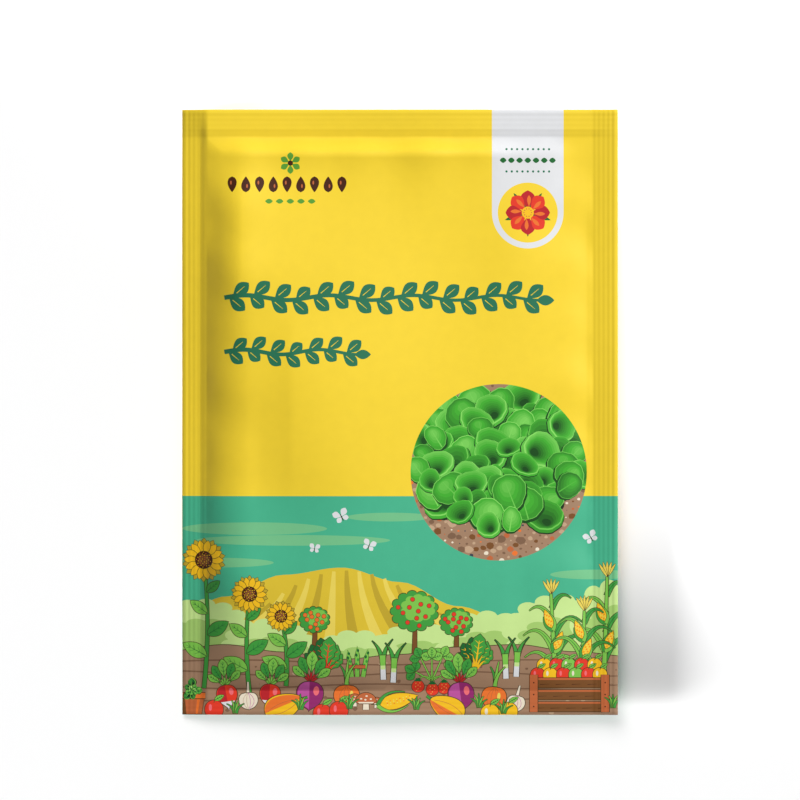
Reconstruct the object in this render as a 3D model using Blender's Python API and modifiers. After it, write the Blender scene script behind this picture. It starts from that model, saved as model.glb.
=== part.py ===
"""A flat seed packet: two printed film panels heat-sealed on all four sides round a handful of small seeds.

The packet lies on its back, in metres: +X to the right and +Y to the top edge of the printed front, +Z up
out of it. Its origin is on the surface it rests on, under the middle of the packet.
"""

import math
import random

import bmesh
import bpy
from mathutils import Euler, Matrix, Vector

# The packet's outline and film
PACKET_WIDTH = 0.090
PACKET_LENGTH = 0.125
FILM_THICKNESS = 0.00015
SEAM_GAP = 0.0001

# The heat seals, and the crimped ribs pressed into them
SIDE_SEAL = 0.0051
TOP_SEAL = 0.0056
BOTTOM_SEAL = 0.0050
RIBS_PER_SEAL = 5
RIB_DEPTH = 0.00012
PLAIN_EDGE = 0.0003

# How high the seam lies, and how far the film bulges from it
SEAM_HEIGHT = 0.0031
FRONT_BULGE = 0.0046
BACK_BULGE = 0.0048
STEEP_RISE = 0.0065
SLOW_RISE = 0.0280
STEEP_SHARE = 0.42
CONTACT_BLEND = 0.0006

# The seam isn't quite flat: its corners droop and its edges wave a little
CORNER_DROOP = 0.0007
EDGE_WAVE = 0.00030
WAVE_LENGTH_X = 0.052
WAVE_LENGTH_Y = 0.061

# Small puckers where the loose film meets a seal
PUCKER_DEPTH = 0.00010
PUCKER_REACH = 0.0035
PUCKER_LENGTHS = (0.0128, 0.0203)

# Broad dents and ridges in the front film: centre x and y, reach in x and y, height
FRONT_DENTS = (
    (-0.024, 0.0500, 0.0110, 0.0032, -0.00045),
    (-0.002, 0.0485, 0.0120, 0.0036, -0.00045),
    (-0.032, -0.0060, 0.0024, 0.0085, 0.00022),
    (0.0255, -0.0430, 0.0028, 0.0150, -0.00026),
    (0.0330, -0.0420, 0.0024, 0.0140, 0.00016),
    (-0.010, -0.0200, 0.0160, 0.0200, 0.00020),
)

# How finely the two panels are divided between their seals
BODY_COLUMNS = 12
BODY_ROWS = 16
EDGE_CROWDING = 0.65
CREASE_ANGLE = math.radians(24)

# The seeds: a shallow heap of small lens-shaped grains
SEED_SIZE = (0.0023, 0.0018, 0.0014)
HEAP_CENTRE = (0.002, -0.010)
HEAP_REACH = (0.0096, 0.0072)
HEAP_CORE_HALF_THICKNESS = 0.0009
SEEDS_ON_TOP = 78
SEEDS_UNDERNEATH = 46
SEED_PROUD = 0.00045
SEED_CLEARANCE = 0.0003
SEED_TILT = 0.45
RANDOM_SEED = 7
GOLDEN_ANGLE = math.pi * (3 - math.sqrt(5))

# Colours and surfaces
FRONT_YELLOW = (0.91, 0.68, 0.035)
BACK_TEAL = (0.065, 0.47, 0.27)
SEED_TAN = (0.42, 0.27, 0.13)


def clear_scene():
    for obj in list(bpy.data.objects):
        bpy.data.objects.remove(obj, do_unlink=True)


def new_material(name, colour, roughness):
    material = bpy.data.materials.new(name)
    material.use_nodes = True
    shader = material.node_tree.nodes["Principled BSDF"]
    shader.inputs["Base Color"].default_value = (*colour, 1)
    shader.inputs["Roughness"].default_value = roughness
    shader.inputs["Metallic"].default_value = 0
    return material


def new_object(name, mesh, material, collection):
    obj = bpy.data.objects.new(name, mesh)
    obj.data.materials.append(material)
    collection.objects.link(obj)
    return obj


def edge_distances(x, y):
    """How far a point lies from the left or right edge, and from the top or bottom edge with its seal's width."""
    from_side = PACKET_WIDTH / 2 - abs(x)
    from_end = PACKET_LENGTH / 2 - abs(y)
    end_seal = TOP_SEAL if y > 0 else BOTTOM_SEAL
    return from_side, from_end, end_seal


def rib_height(distance, seal):
    """The crimped relief of one seal, at a distance from its outer edge."""
    along = (distance - PLAIN_EDGE) / (seal - PLAIN_EDGE)
    if not 0 < along < 1:
        return 0.0
    return RIB_DEPTH / 2 * (1 - math.cos(2 * math.pi * RIBS_PER_SEAL * along))


def seam_surface(x, y):
    """The surface on which the two films are sealed together."""
    across = 2 * x / PACKET_WIDTH
    up = 2 * y / PACKET_LENGTH
    droop = CORNER_DROOP * across**2 * up**2
    wave = math.sin(2 * math.pi * y / WAVE_LENGTH_Y + 0.9) * across
    wave += math.sin(2 * math.pi * x / WAVE_LENGTH_X + 0.3) * up
    from_side, from_end, end_seal = edge_distances(x, y)
    ribs = rib_height(from_side, SIDE_SEAL) + rib_height(from_end, end_seal)
    return SEAM_HEIGHT - droop + EDGE_WAVE * wave + ribs


def rise(distance):
    """From 0 at a seal to 1 in the middle: a steep start, then a slow swell."""
    steep = 1 - max(0.0, 1 - distance / STEEP_RISE) ** 2
    slow = 1 - max(0.0, 1 - distance / SLOW_RISE) ** 2
    return STEEP_SHARE * steep + (1 - STEEP_SHARE) * slow


def bulge(x, y):
    """How much of its full bulge the film has at a point, from 0 on the seals to 1 in the middle."""
    from_side, from_end, end_seal = edge_distances(x, y)
    inside_side = from_side - SIDE_SEAL
    inside_end = from_end - end_seal
    if inside_side <= 0 or inside_end <= 0:
        return 0.0
    return rise(inside_side) * rise(inside_end)


def pucker(x, y):
    """Small creases that start at a seal's inner edge and die out in the film."""
    from_side, from_end, end_seal = edge_distances(x, y)
    inside_side = from_side - SIDE_SEAL
    inside_end = from_end - end_seal
    if inside_side <= 0 or inside_end <= 0:
        return 0.0
    total = 0.0
    for along, inside, across in ((y, inside_side, inside_end), (x, inside_end, inside_side)):
        fade = inside / PUCKER_REACH * math.exp(1 - inside / PUCKER_REACH)
        fade *= min(1.0, across / STEEP_RISE)
        total += fade * sum(math.sin(2 * math.pi * along / length + length * 900) for length in PUCKER_LENGTHS)
    return PUCKER_DEPTH * total


def front_dents(x, y):
    total = 0.0
    for centre_x, centre_y, reach_x, reach_y, height in FRONT_DENTS:
        away = ((x - centre_x) / reach_x) ** 2 + ((y - centre_y) / reach_y) ** 2
        total += height * math.exp(-away)
    return total


def front_inside(x, y):
    """The inner face of the front film."""
    share = bulge(x, y)
    return seam_surface(x, y) + SEAM_GAP / 2 + FRONT_BULGE * share + pucker(x, y) + share * front_dents(x, y)


def back_inside(x, y):
    """The inner face of the back film, pressed flat where the packet rests."""
    height = seam_surface(x, y) - SEAM_GAP / 2 - BACK_BULGE * bulge(x, y) - pucker(x, y)
    above = height - FILM_THICKNESS
    if above <= -CONTACT_BLEND:
        above = 0.0
    elif above < CONTACT_BLEND:
        above = (above + CONTACT_BLEND) ** 2 / (4 * CONTACT_BLEND)
    return FILM_THICKNESS + above


def grid_stations(full, low_seal, high_seal, body_cells):
    """Where the panel's grid lines lie along one side: on every rib's crest and foot, and crowded near the seals."""
    def seal_steps(seal):
        half_ribs = 2 * RIBS_PER_SEAL
        return [0] + [PLAIN_EDGE + (seal - PLAIN_EDGE) * i / half_ribs for i in range(half_ribs + 1)]

    low = [-full / 2 + step for step in seal_steps(low_seal)]
    high = [full / 2 - step for step in reversed(seal_steps(high_seal))]
    body = []
    for i in range(1, body_cells):
        even = i / body_cells
        crowded = (1 - math.cos(math.pi * even)) / 2
        share = even + EDGE_CROWDING * (crowded - even)
        body.append(low[-1] + share * (high[0] - low[-1]))
    return low + body + high


def make_panel(name, height_at, facing_up, material, collection):
    """One film: a grid laid on its inner face, with Solidify for its thickness outwards."""
    columns = grid_stations(PACKET_WIDTH, SIDE_SEAL, SIDE_SEAL, BODY_COLUMNS)
    rows = grid_stations(PACKET_LENGTH, BOTTOM_SEAL, TOP_SEAL, BODY_ROWS)
    sheet = bmesh.new()
    bmesh.ops.create_grid(sheet, x_segments=len(columns) - 1, y_segments=len(rows) - 1, size=0.5)
    for vertex in sheet.verts:
        column = round((vertex.co.x + 0.5) * (len(columns) - 1))
        row = round((vertex.co.y + 0.5) * (len(rows) - 1))
        x, y = columns[column], rows[row]
        vertex.co = (x, y, height_at(x, y))
    if not facing_up:
        bmesh.ops.reverse_faces(sheet, faces=sheet.faces)
    bmesh.ops.triangulate(sheet, faces=sheet.faces, quad_method="SHORT_EDGE")
    mesh = bpy.data.meshes.new(name)
    sheet.to_mesh(mesh)
    sheet.free()
    mesh.shade_smooth()
    mesh.set_sharp_from_angle(angle=CREASE_ANGLE)
    panel = new_object(name, mesh, material, collection)
    film = panel.modifiers.new("Film", "SOLIDIFY")
    film.thickness = FILM_THICKNESS
    film.offset = 1
    return panel


def make_seed(name, place, turn, material, collection):
    grain = bmesh.new()
    bmesh.ops.create_icosphere(grain, subdivisions=1, radius=0.5)
    bmesh.ops.scale(grain, vec=SEED_SIZE, verts=grain.verts)
    bmesh.ops.transform(grain, matrix=Matrix.Translation(place) @ turn.to_matrix().to_4x4(), verts=grain.verts)
    mesh = bpy.data.meshes.new(name)
    grain.to_mesh(mesh)
    grain.free()
    return new_object(name, mesh, material, collection)


def heap_places(count, side, rng):
    """Places and turns of seeds spread by the golden angle over the top or the underside of the heap's core."""
    core_middle = FILM_THICKNESS + SEED_CLEARANCE + SEED_PROUD + SEED_SIZE[2] / 2 + HEAP_CORE_HALF_THICKNESS
    for i in range(count):
        out = math.sqrt((i + 0.5) / count)
        angle = i * GOLDEN_ANGLE
        x = HEAP_CENTRE[0] + HEAP_REACH[0] * out * math.cos(angle)
        y = HEAP_CENTRE[1] + HEAP_REACH[1] * out * math.sin(angle)
        z = core_middle + side * HEAP_CORE_HALF_THICKNESS * math.sqrt(1 - out**2)
        turn = Euler((rng.uniform(-SEED_TILT, SEED_TILT), rng.uniform(-SEED_TILT, SEED_TILT), rng.uniform(0, math.tau)))
        yield Vector((x, y, z)), turn


def make_seeds(material, collection, loose):
    """The heap of seeds: a flat core that every seed is sunk into, joined as one body."""
    rng = random.Random(RANDOM_SEED)
    core_middle = FILM_THICKNESS + SEED_CLEARANCE + SEED_PROUD + SEED_SIZE[2] / 2 + HEAP_CORE_HALF_THICKNESS
    core = bmesh.new()
    bmesh.ops.create_uvsphere(core, u_segments=20, v_segments=8, radius=1)
    bmesh.ops.scale(core, vec=(*HEAP_REACH, HEAP_CORE_HALF_THICKNESS), verts=core.verts)
    bmesh.ops.translate(core, vec=(*HEAP_CENTRE, core_middle), verts=core.verts)
    mesh = bpy.data.meshes.new("seeds")
    core.to_mesh(mesh)
    core.free()
    seeds = new_object("seeds", mesh, material, collection)
    places = list(heap_places(SEEDS_ON_TOP, 1, rng)) + list(heap_places(SEEDS_UNDERNEATH, -1, rng))
    for i, (place, turn) in enumerate(places):
        make_seed(f"seed_{i}", place, turn, material, loose)
    join = seeds.modifiers.new("Join", "BOOLEAN")
    join.operation = "UNION"
    join.operand_type = "COLLECTION"
    join.collection = loose
    join.solver = "EXACT"
    bpy.context.view_layer.update()
    graph = bpy.context.evaluated_depsgraph_get()
    joined = bpy.data.meshes.new_from_object(seeds.evaluated_get(graph))
    seeds.modifiers.clear()
    seeds.data = joined
    joined.shade_smooth()
    joined.set_sharp_from_angle(angle=CREASE_ANGLE)
    for grain in list(loose.objects):
        bpy.data.objects.remove(grain, do_unlink=True)
    bpy.data.collections.remove(loose)
    return seeds


def main():
    clear_scene()
    packet = bpy.data.collections.new("seed packet")
    loose = bpy.data.collections.new("loose seeds")
    for collection in (packet, loose):
        bpy.context.scene.collection.children.link(collection)
    front_film = new_material("front film", FRONT_YELLOW, 0.4)
    back_film = new_material("back film", BACK_TEAL, 0.4)
    seed_skin = new_material("seed skin", SEED_TAN, 0.75)
    make_panel("front_panel", front_inside, True, front_film, packet)
    make_panel("back_panel", back_inside, False, back_film, packet)
    make_seeds(seed_skin, packet, loose)


if __name__ == "__main__":
    main()
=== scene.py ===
"""The looks of a heat-sealed seed packet: printed film front and back, the seeds inside, and a plain studio.

Lengths are in metres unless a name or a comment says millimetres. Drawings on the film are in millimetres
from the packet's middle, x to the right and y to its top edge.
"""

import math
import random

import bmesh
import bpy
import numpy as np
from bpy.props import FloatProperty, FloatVectorProperty, IntProperty, PointerProperty
from mathutils import Euler, Matrix, Vector
from mathutils.geometry import delaunay_2d_cdt


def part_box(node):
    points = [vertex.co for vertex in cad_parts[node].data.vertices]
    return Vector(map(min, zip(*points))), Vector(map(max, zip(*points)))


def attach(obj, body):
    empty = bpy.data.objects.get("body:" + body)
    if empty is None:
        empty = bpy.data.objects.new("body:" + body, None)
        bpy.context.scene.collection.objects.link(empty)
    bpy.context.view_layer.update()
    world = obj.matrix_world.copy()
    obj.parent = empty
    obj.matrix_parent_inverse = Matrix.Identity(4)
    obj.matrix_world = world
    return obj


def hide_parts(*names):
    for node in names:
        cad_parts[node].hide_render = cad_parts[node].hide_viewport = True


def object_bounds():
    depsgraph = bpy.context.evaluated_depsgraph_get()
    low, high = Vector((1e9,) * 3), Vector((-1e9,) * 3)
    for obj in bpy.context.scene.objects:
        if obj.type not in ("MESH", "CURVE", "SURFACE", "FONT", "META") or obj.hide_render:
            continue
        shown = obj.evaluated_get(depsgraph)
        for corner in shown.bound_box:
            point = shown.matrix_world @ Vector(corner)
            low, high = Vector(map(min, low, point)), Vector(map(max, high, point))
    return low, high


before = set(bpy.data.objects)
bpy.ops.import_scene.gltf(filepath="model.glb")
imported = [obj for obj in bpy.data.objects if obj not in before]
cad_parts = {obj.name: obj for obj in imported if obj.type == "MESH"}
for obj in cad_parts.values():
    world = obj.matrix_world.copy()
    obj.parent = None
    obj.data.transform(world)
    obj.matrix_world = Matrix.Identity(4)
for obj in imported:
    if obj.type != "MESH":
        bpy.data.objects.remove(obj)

bl_info = {
    "name": "Seed packet",
    "version": (1, 0, 0),
    "blender": (4, 5, 0),
    "location": "3D View > Sidebar > Seed packet",
    "description": "Builds a printed, heat-sealed seed packet and its studio",
    "category": "Add Mesh",
}

# The packet's outline comes from the frame
LOW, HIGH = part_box("front_panel")
PACKET_WIDTH = round(HIGH.x - LOW.x, 3)
PACKET_LENGTH = round(HIGH.y - LOW.y, 3)
HALF_WIDTH_MM = PACKET_WIDTH * 500
HALF_LENGTH_MM = PACKET_LENGTH * 500
CAD_LOW, CAD_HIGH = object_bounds()

# The photograph's frame, in pixels, and where the packet's outline lies in it
PICTURE_SIDE = 800
OUTLINE_LEFT, OUTLINE_RIGHT = 182.0, 617.8
OUTLINE_TOP, OUTLINE_BOTTOM = 109.5, 714.9

MM = 0.001
GOLDEN_ANGLE = math.pi * (3 - math.sqrt(5))

# The drawn sheet is a little larger than the film
SHEET_LEFT, SHEET_RIGHT = -HALF_WIDTH_MM - 3, HALF_WIDTH_MM + 3
SHEET_TOP = 70.0

# Tones of the salad leaves, numbered from the lit leaf to its deep throat
SALAD_STEPS = 13


def linear(red, green, blue):
    """A colour picked on a screen, 0 to 255, as scene-linear values."""
    shares = (red / 255, green / 255, blue / 255)
    return tuple(((share + 0.055) / 1.055) ** 2.4 if share > 0.04 else share / 12.92 for share in shares)


def metres(name, about, default, low=0.0):
    return FloatProperty(name=name, description=about, default=default, min=low, unit="LENGTH", precision=5)


def offset(name, about, default):
    """A length that may be negative."""
    return metres(name, about, default, -1.0)


def number(name, about, default, unit="NONE"):
    return FloatProperty(name=name, description=about, default=default, min=0, unit=unit)


def whole_number(name, about, default):
    return IntProperty(name=name, description=about, default=default, min=1)


def slope(name, steep, slow, share):
    """Reach of the steep start, reach of the slow swell, and the steep start's share of the bulge."""
    about = "Steep reach, slow reach and steep share"
    return FloatVectorProperty(name=name, description=about, default=(steep, slow, share), min=0, precision=4)


def ink(name, about, red, green, blue):
    colour = linear(red, green, blue)
    return FloatVectorProperty(name=name, description=about, default=colour, subtype="COLOR", min=0, max=1)


class FilmForm(bpy.types.PropertyGroup):
    """How the two films are sealed and how they bulge."""

    thickness: metres("Film thickness", "Thickness of the laminated film", 0.00015)
    seam_gap: metres("Seam gap", "Space left between the two films at a seal", 0.00003)
    side_seal: metres("Side seal", "Width of the left and right seals", 0.0051)
    top_seal: metres("Top seal", "Width of the top seal", 0.0056)
    bottom_seal: metres("Bottom seal", "Width of the bottom seal", 0.0050)
    rib_count: whole_number("Ribs", "Crimped ribs in each seal", 5)
    rib_depth: metres("Rib depth", "Height of the crimped ribs", 0.000045)
    side_ribs: number("Side ribs", "Share of that height all over a side seal", 0.46)
    end_ribs: number("End ribs", "Share of it all over an end seal", 0.18)
    edge_ribs: number("Edge ribs", "What comes on top of it near the cut edge", 1.0)
    plain_edge: metres("Plain edge", "Unribbed margin at the cut edge", 0.0003)
    bevel_depth: metres("Bevel depth", "How far the cut edge curls down", 0.00013)
    bevel_reach: metres("Bevel reach", "Width of that curl", 0.0005)
    left_crease: metres("Left crease", "Step down from the film to the left seal", 0.00045)
    top_crease: metres("Top crease", "Step up from the film to the top seal", 0.00022)
    crease_start: number("Crease start", "Where those steps start across the seal, as a share under 1", 0.74)
    cell: metres("Cell", "Size of the mesh cells between the seals", 0.0015)
    left_lift: offset("Left lift", "How far the left seal turns up towards its cut edge", -0.00105)
    right_lift: offset("Right lift", "The same for the right seal", 0.00075)
    top_lift: offset("Top lift", "The same for the top seal", 0.0002)
    bottom_lift: offset("Bottom lift", "The same for the bottom seal", 0.0002)
    seam_height: metres("Seam height", "Height of the seam over the surface", 0.0031)
    front_bulge: metres("Front bulge", "How far the front film stands off the seam", 0.0049)
    back_bulge: metres("Back bulge", "How far the back film would sag if nothing held it", 0.0048)
    left_slope: slope("Left slope", 0.0095, 0.0420, 0.80)
    right_slope: slope("Right slope", 0.0060, 0.0953, 0.047)
    top_slope: slope("Top slope", 0.0030, 0.0550, 0.04)
    bottom_slope: slope("Bottom slope", 0.0075, 0.0280, 0.42)
    contact_blend: metres("Contact blend", "Height over which the back film eases onto the surface", 0.0003)
    corner_droop: metres("Corner droop", "How far the corners hang below the seam", 0.0007)
    edge_wave: metres("Edge wave", "Height of the long waves along the seam", 0.00030)
    pucker_depth: metres("Pucker depth", "Depth of the small creases beside the seals", 0.00010)
    pucker_reach: metres("Pucker reach", "How far those creases run into the film", 0.0035)


class SeedForm(bpy.types.PropertyGroup):
    """The loose seeds inside."""

    length: metres("Seed length", "Length of one seed", 0.0023)
    width: metres("Seed width", "Width of one seed", 0.0018)
    depth: metres("Seed depth", "Thickness of one seed", 0.0014)
    on_top: whole_number("On top", "Seeds on top of the heap", 78)
    underneath: whole_number("Underneath", "Seeds on the underside of the heap", 46)
    colour: ink("Seed colour", "Straw brown of the seed skin", 176, 142, 96)


class InkColours(bpy.types.PropertyGroup):
    """The inks of the film's print."""

    yellow: ink("Yellow", "Upper field", 250, 216, 52)
    teal: ink("Teal", "Lower field", 72, 183, 142)
    white: ink("White", "Ribbon and butterflies", 228, 229, 231)
    garland: ink("Garland green", "Dark green of the garlands", 39, 116, 84)
    brown: ink("Seed brown", "Dark brown of the seed row", 70, 30, 5)
    sprig: ink("Sprig green", "Fresh green of small ornaments", 92, 158, 52)
    contour: ink("Contour", "Dark line round each drawing", 62, 52, 22)
    haze: ink("Haze", "Pale bands in the sky", 118, 196, 140)
    field_gold: ink("Field gold", "Golden field", 226, 196, 52)
    field_light: ink("Field light", "Lighter rows of the golden field", 240, 216, 92)
    field_dark: ink("Field dark", "Darker rows of the golden field", 196, 168, 44)
    meadow: ink("Meadow", "Pale green hedge", 203, 234, 147)
    meadow_dark: ink("Meadow shade", "Shaded part of the hedge", 168, 208, 112)
    soil: ink("Soil", "Garden soil", 165, 130, 102)
    soil_dark: ink("Soil shade", "Furrows and shadows on the soil", 128, 96, 72)
    soil_light: ink("Soil light", "Lit crumbs of soil", 198, 166, 134)
    leaf: ink("Leaf", "Middle green of leaves", 64, 160, 62)
    leaf_dark: ink("Leaf shade", "Deep green of leaves", 26, 104, 46)
    leaf_light: ink("Leaf light", "Bright green of leaves", 128, 200, 78)
    red: ink("Red", "Berries, radishes and blossom", 232, 58, 36)
    red_dark: ink("Red shade", "Shaded side of red things", 190, 32, 40)
    pink: ink("Pink", "Light side of radishes", 244, 112, 120)
    orange: ink("Orange", "Blossom and pots", 240, 118, 44)
    clay: ink("Clay", "Clay pots", 196, 104, 58)
    gold: ink("Gold", "Petals and cobs", 250, 196, 28)
    purple: ink("Purple", "Beetroot", 150, 40, 110)
    purple_light: ink("Purple light", "Lit side of beetroot", 192, 84, 160)
    wood: ink("Wood", "Trunks and posts", 124, 78, 36)
    night: ink("Deep green", "Gaps between leaves", 12, 46, 16)
    salad_lit: ink("Salad, lit", "Rims and lit faces of the salad leaves", 142, 226, 104)
    salad_middle: ink("Salad, middle", "Faces of the salad leaves", 66, 176, 46)
    salad_deep: ink("Salad, deep", "Throats of the salad leaves", 14, 74, 16)
    slate: ink("Slate", "Dark pebbles", 58, 64, 78)
    cream: ink("Cream", "Pale pebbles, garlic and mushrooms", 240, 228, 204)
    foil: ink("Foil", "Inner face of the film", 205, 208, 210)


class StudioForm(bpy.types.PropertyGroup):
    """Floor, lamps and camera."""

    floor_radius: metres("Floor radius", "Radius of the round floor", 6.0)
    camera_height: metres("Camera height", "Distance from the seam to the camera", 1.5)
    key_power: number("Key power", "Softbox at the upper right, on the packet alone", 112.5, "POWER")
    low_light: number("Low light", "Light along the floor, from the left", 10.6)
    high_light: number("High light", "Light onto the floor, from beyond the top edge", 1.45)
    edge_power: number("Edge power", "Lamp on the floor at the right", 26.0, "POWER")
    top_power: number("Top power", "Lamp on the floor beyond the top edge", 24.0, "POWER")
    sky_light: number("Sky light", "Even light from all round", 0.16)
    floor_colour: ink("Floor colour", "Pale studio floor", 246, 246, 246)


# The film's form

# Broad dents and ridges in the front film: centre x and y, reach in x and y, height
FRONT_DENTS = (
    (-0.0273, -0.0173, 0.0138, 0.0193, -0.00183),
    (-0.0293, -0.0090, 0.0022, 0.0085, -0.00012),
    (0.0265, 0.0390, 0.0080, 0.0140, 0.00190),
    (0.0125, 0.0310, 0.0168, 0.0285, -0.00220),
    (0.0255, -0.0430, 0.0028, 0.0150, -0.00040),
    (0.0330, -0.0420, 0.0024, 0.0140, 0.00026),
)
# Soft folds: a point on the crest, the way down the soft side, soft and sharp reach, half length, height
FRONT_FOLDS = (
    (-0.0060, 0.0532, 270, 0.0048, 0.0025, 0.0330, 0.00130),
    (-0.0332, 0.0352, 0, 0.0102, 0.0046, 0.0128, 0.00104),
    (-0.0225, 0.0010, 180, 0.0067, 0.0118, 0.0176, 0.00074),
    (0.0384, 0.0050, 180, 0.0020, 0.0020, 0.0400, -0.00022),
)
# The long waves along the seam
WAVE_LENGTH_X, WAVE_PHASE_X = 0.052, 0.3
WAVE_LENGTH_Y, WAVE_PHASE_Y = 0.061, 0.9
# The two wave lengths that the small creases beside the seals are mixed from, and their phase for each metre
PUCKER_LENGTHS = (0.0128, 0.0203)
PUCKER_PHASE = 900
# Share of a seal over which its ribs flatten, from the cut edge inwards
RIB_FADE = 0.18


def edge_distances(x, y, form):
    """Distances from the side edges and the end edges, with the width of the seal at that end."""
    from_side = PACKET_WIDTH / 2 - np.abs(x)
    from_end = PACKET_LENGTH / 2 - np.abs(y)
    end_seal = np.where(y > 0, form.top_seal, form.bottom_seal)
    return from_side, from_end, end_seal


def seal_relief(distance, seal, lift, crease_depth, share, form):
    """Ribs, bevelled cut edge, tilt and inner crease of one seal, at a distance from its cut edge."""
    along = np.clip((distance - form.plain_edge) / (seal - form.plain_edge), 0, 1)
    deep = share + form.edge_ribs * np.exp(-along / RIB_FADE)
    ribs = form.rib_depth * deep / 2 * (1 - np.cos(2 * math.pi * form.rib_count * along))
    bevel = form.bevel_depth * (1 - np.clip(distance / form.bevel_reach, 0, 1)) ** 2
    tilt = lift * (1 - np.clip(distance / seal, 0, 1))
    into_crease = (distance / seal - form.crease_start) / (1 - form.crease_start)
    crease = crease_depth * (1 - np.clip(into_crease, 0, 1))
    return ribs - bevel + tilt - crease


def seam_surface(x, y, form):
    """Height of the seam, carried on between the films: the seals' relief, long waves and hanging corners."""
    across = 2 * x / PACKET_WIDTH
    up = 2 * y / PACKET_LENGTH
    droop = form.corner_droop * across**2 * up**2
    wave = np.sin(2 * math.pi * y / WAVE_LENGTH_Y + WAVE_PHASE_Y) * across
    wave = wave + np.sin(2 * math.pi * x / WAVE_LENGTH_X + WAVE_PHASE_X) * up
    from_side, from_end, end_seal = edge_distances(x, y, form)
    side_lift = np.where(x > 0, form.right_lift, form.left_lift)
    end_lift = np.where(y > 0, form.top_lift, form.bottom_lift)
    side_crease = np.where(x > 0, 0, form.left_crease) * np.clip(from_end / end_seal, 0, 1)
    end_crease = np.where(y > 0, -form.top_crease, 0) * np.clip(from_side / form.side_seal, 0, 1)
    relief = seal_relief(from_side, form.side_seal, side_lift, side_crease, form.side_ribs, form)
    relief = relief + seal_relief(from_end, end_seal, end_lift, end_crease, form.end_ribs, form)
    return form.seam_height - droop + form.edge_wave * wave + relief


def rise(inside, shape):
    """From 0 at a seal to 1 in the middle: a steep start, then a slow swell."""
    steep_reach, slow_reach, steep_share = shape
    steep = 1 - np.clip(1 - inside / steep_reach, 0, 1) ** 2
    slow = 1 - np.clip(1 - inside / slow_reach, 0, 1) ** 2
    return steep_share * steep + (1 - steep_share) * slow


def bulge(x, y, form):
    """From 0 on the seals to 1 where the packet is fullest."""
    left = rise(np.maximum(PACKET_WIDTH / 2 + x - form.side_seal, 0), form.left_slope)
    right = rise(np.maximum(PACKET_WIDTH / 2 - x - form.side_seal, 0), form.right_slope)
    top = rise(np.maximum(PACKET_LENGTH / 2 - y - form.top_seal, 0), form.top_slope)
    bottom = rise(np.maximum(PACKET_LENGTH / 2 + y - form.bottom_seal, 0), form.bottom_slope)
    return left * right * top * bottom


def pucker(x, y, form):
    """Small creases that start at a seal's inner edge and die out in the film."""
    from_side, from_end, end_seal = edge_distances(x, y, form)
    inside_side = np.maximum(from_side - form.side_seal, 0)
    inside_end = np.maximum(from_end - end_seal, 0)
    total = 0
    for along, inside, across in ((y, inside_side, inside_end), (x, inside_end, inside_side)):
        fade = inside / form.pucker_reach * np.exp(1 - inside / form.pucker_reach)
        fade = fade * np.clip(across / (2 * form.pucker_reach), 0, 1)
        waves = sum(np.sin(2 * math.pi * along / length + length * PUCKER_PHASE) for length in PUCKER_LENGTHS)
        total = total + fade * waves
    return form.pucker_depth * total


def near_share(x, y, form):
    """From 0 at the seals to 1 a little way into the film."""
    from_side, from_end, end_seal = edge_distances(x, y, form)
    near = np.minimum(from_side - form.side_seal, from_end - end_seal)
    return 1 - np.clip(1 - near / form.pucker_reach, 0, 1) ** 2


def front_inside(x, y, form):
    share = bulge(x, y, form)
    dents, folds = 0, 0
    for centre_x, centre_y, reach_x, reach_y, height in FRONT_DENTS:
        away = ((x - centre_x) / reach_x) ** 2 + ((y - centre_y) / reach_y) ** 2
        dents = dents + height * np.exp(-away)
    for crest_x, crest_y, turn, soft, sharp, half_length, height in FRONT_FOLDS:
        cos, sin = math.cos(math.radians(turn)), math.sin(math.radians(turn))
        down = (x - crest_x) * cos + (y - crest_y) * sin
        along = (y - crest_y) * cos - (x - crest_x) * sin
        profile = np.where(down > 0, np.exp(-np.maximum(down, 0) / soft), np.exp(-((down / sharp) ** 2)))
        folds = folds + height * profile * np.exp(-((along / half_length) ** 4))
    folds = folds * np.clip(near_share(x, y, form), 0, 1)
    bulged = form.front_bulge * share + share * dents + folds + pucker(x, y, form)
    return seam_surface(x, y, form) + form.seam_gap / 2 + bulged


def front_outside(x, y, form):
    return front_inside(x, y, form) + form.thickness


def back_inside(x, y, form):
    """Inner face of the back film, pressed flat where the packet rests."""
    height = seam_surface(x, y, form) - form.seam_gap / 2 - form.back_bulge * bulge(x, y, form)
    above = height + pucker(x, y, form) - form.thickness
    eased = (above + form.contact_blend) ** 2 / (4 * form.contact_blend)
    above = np.where(above <= -form.contact_blend, 0, np.where(above < form.contact_blend, eased, above))
    return form.thickness + above


def back_outside(x, y, form):
    return back_inside(x, y, form) - form.thickness


# Drawing: outlines are lists of points in millimetres


def oval(x, y, across, up=None, points=28):
    up = across if up is None else up
    turns = [math.tau * i / points for i in range(points)]
    return [(x + across * math.cos(t), y + up * math.sin(t)) for t in turns]


def rectangle(left, low, right, high):
    return [(left, low), (right, low), (right, high), (left, high)]


def flared(foot, head, low, high):
    """A shape that reaches foot to each side at one height and head at the other."""
    return [(-foot, low), (foot, low), (head, high), (-head, high)]


def fitted(outline, wide=1, tall=1, right=0, up=0):
    """The outline stretched, then moved."""
    return [(x * wide + right, y * tall + up) for x, y in outline]


def blade(length, width, belly=0.5, points=12):
    """A leaf from its foot at 0, 0 up to its tip, widest at belly of its length."""
    bend = math.log(0.5) / math.log(belly)
    shares = [i / points for i in range(points + 1)]
    half = [width / 2 * math.sin(math.pi * share**bend) ** 0.85 if 0 < share < 1 else 0 for share in shares]
    right = [(w, length * share) for w, share in zip(half, shares)]
    left = [(-w, length * share) for w, share in zip(half[1:-1], shares[1:-1])]
    return right + left[::-1]


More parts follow.
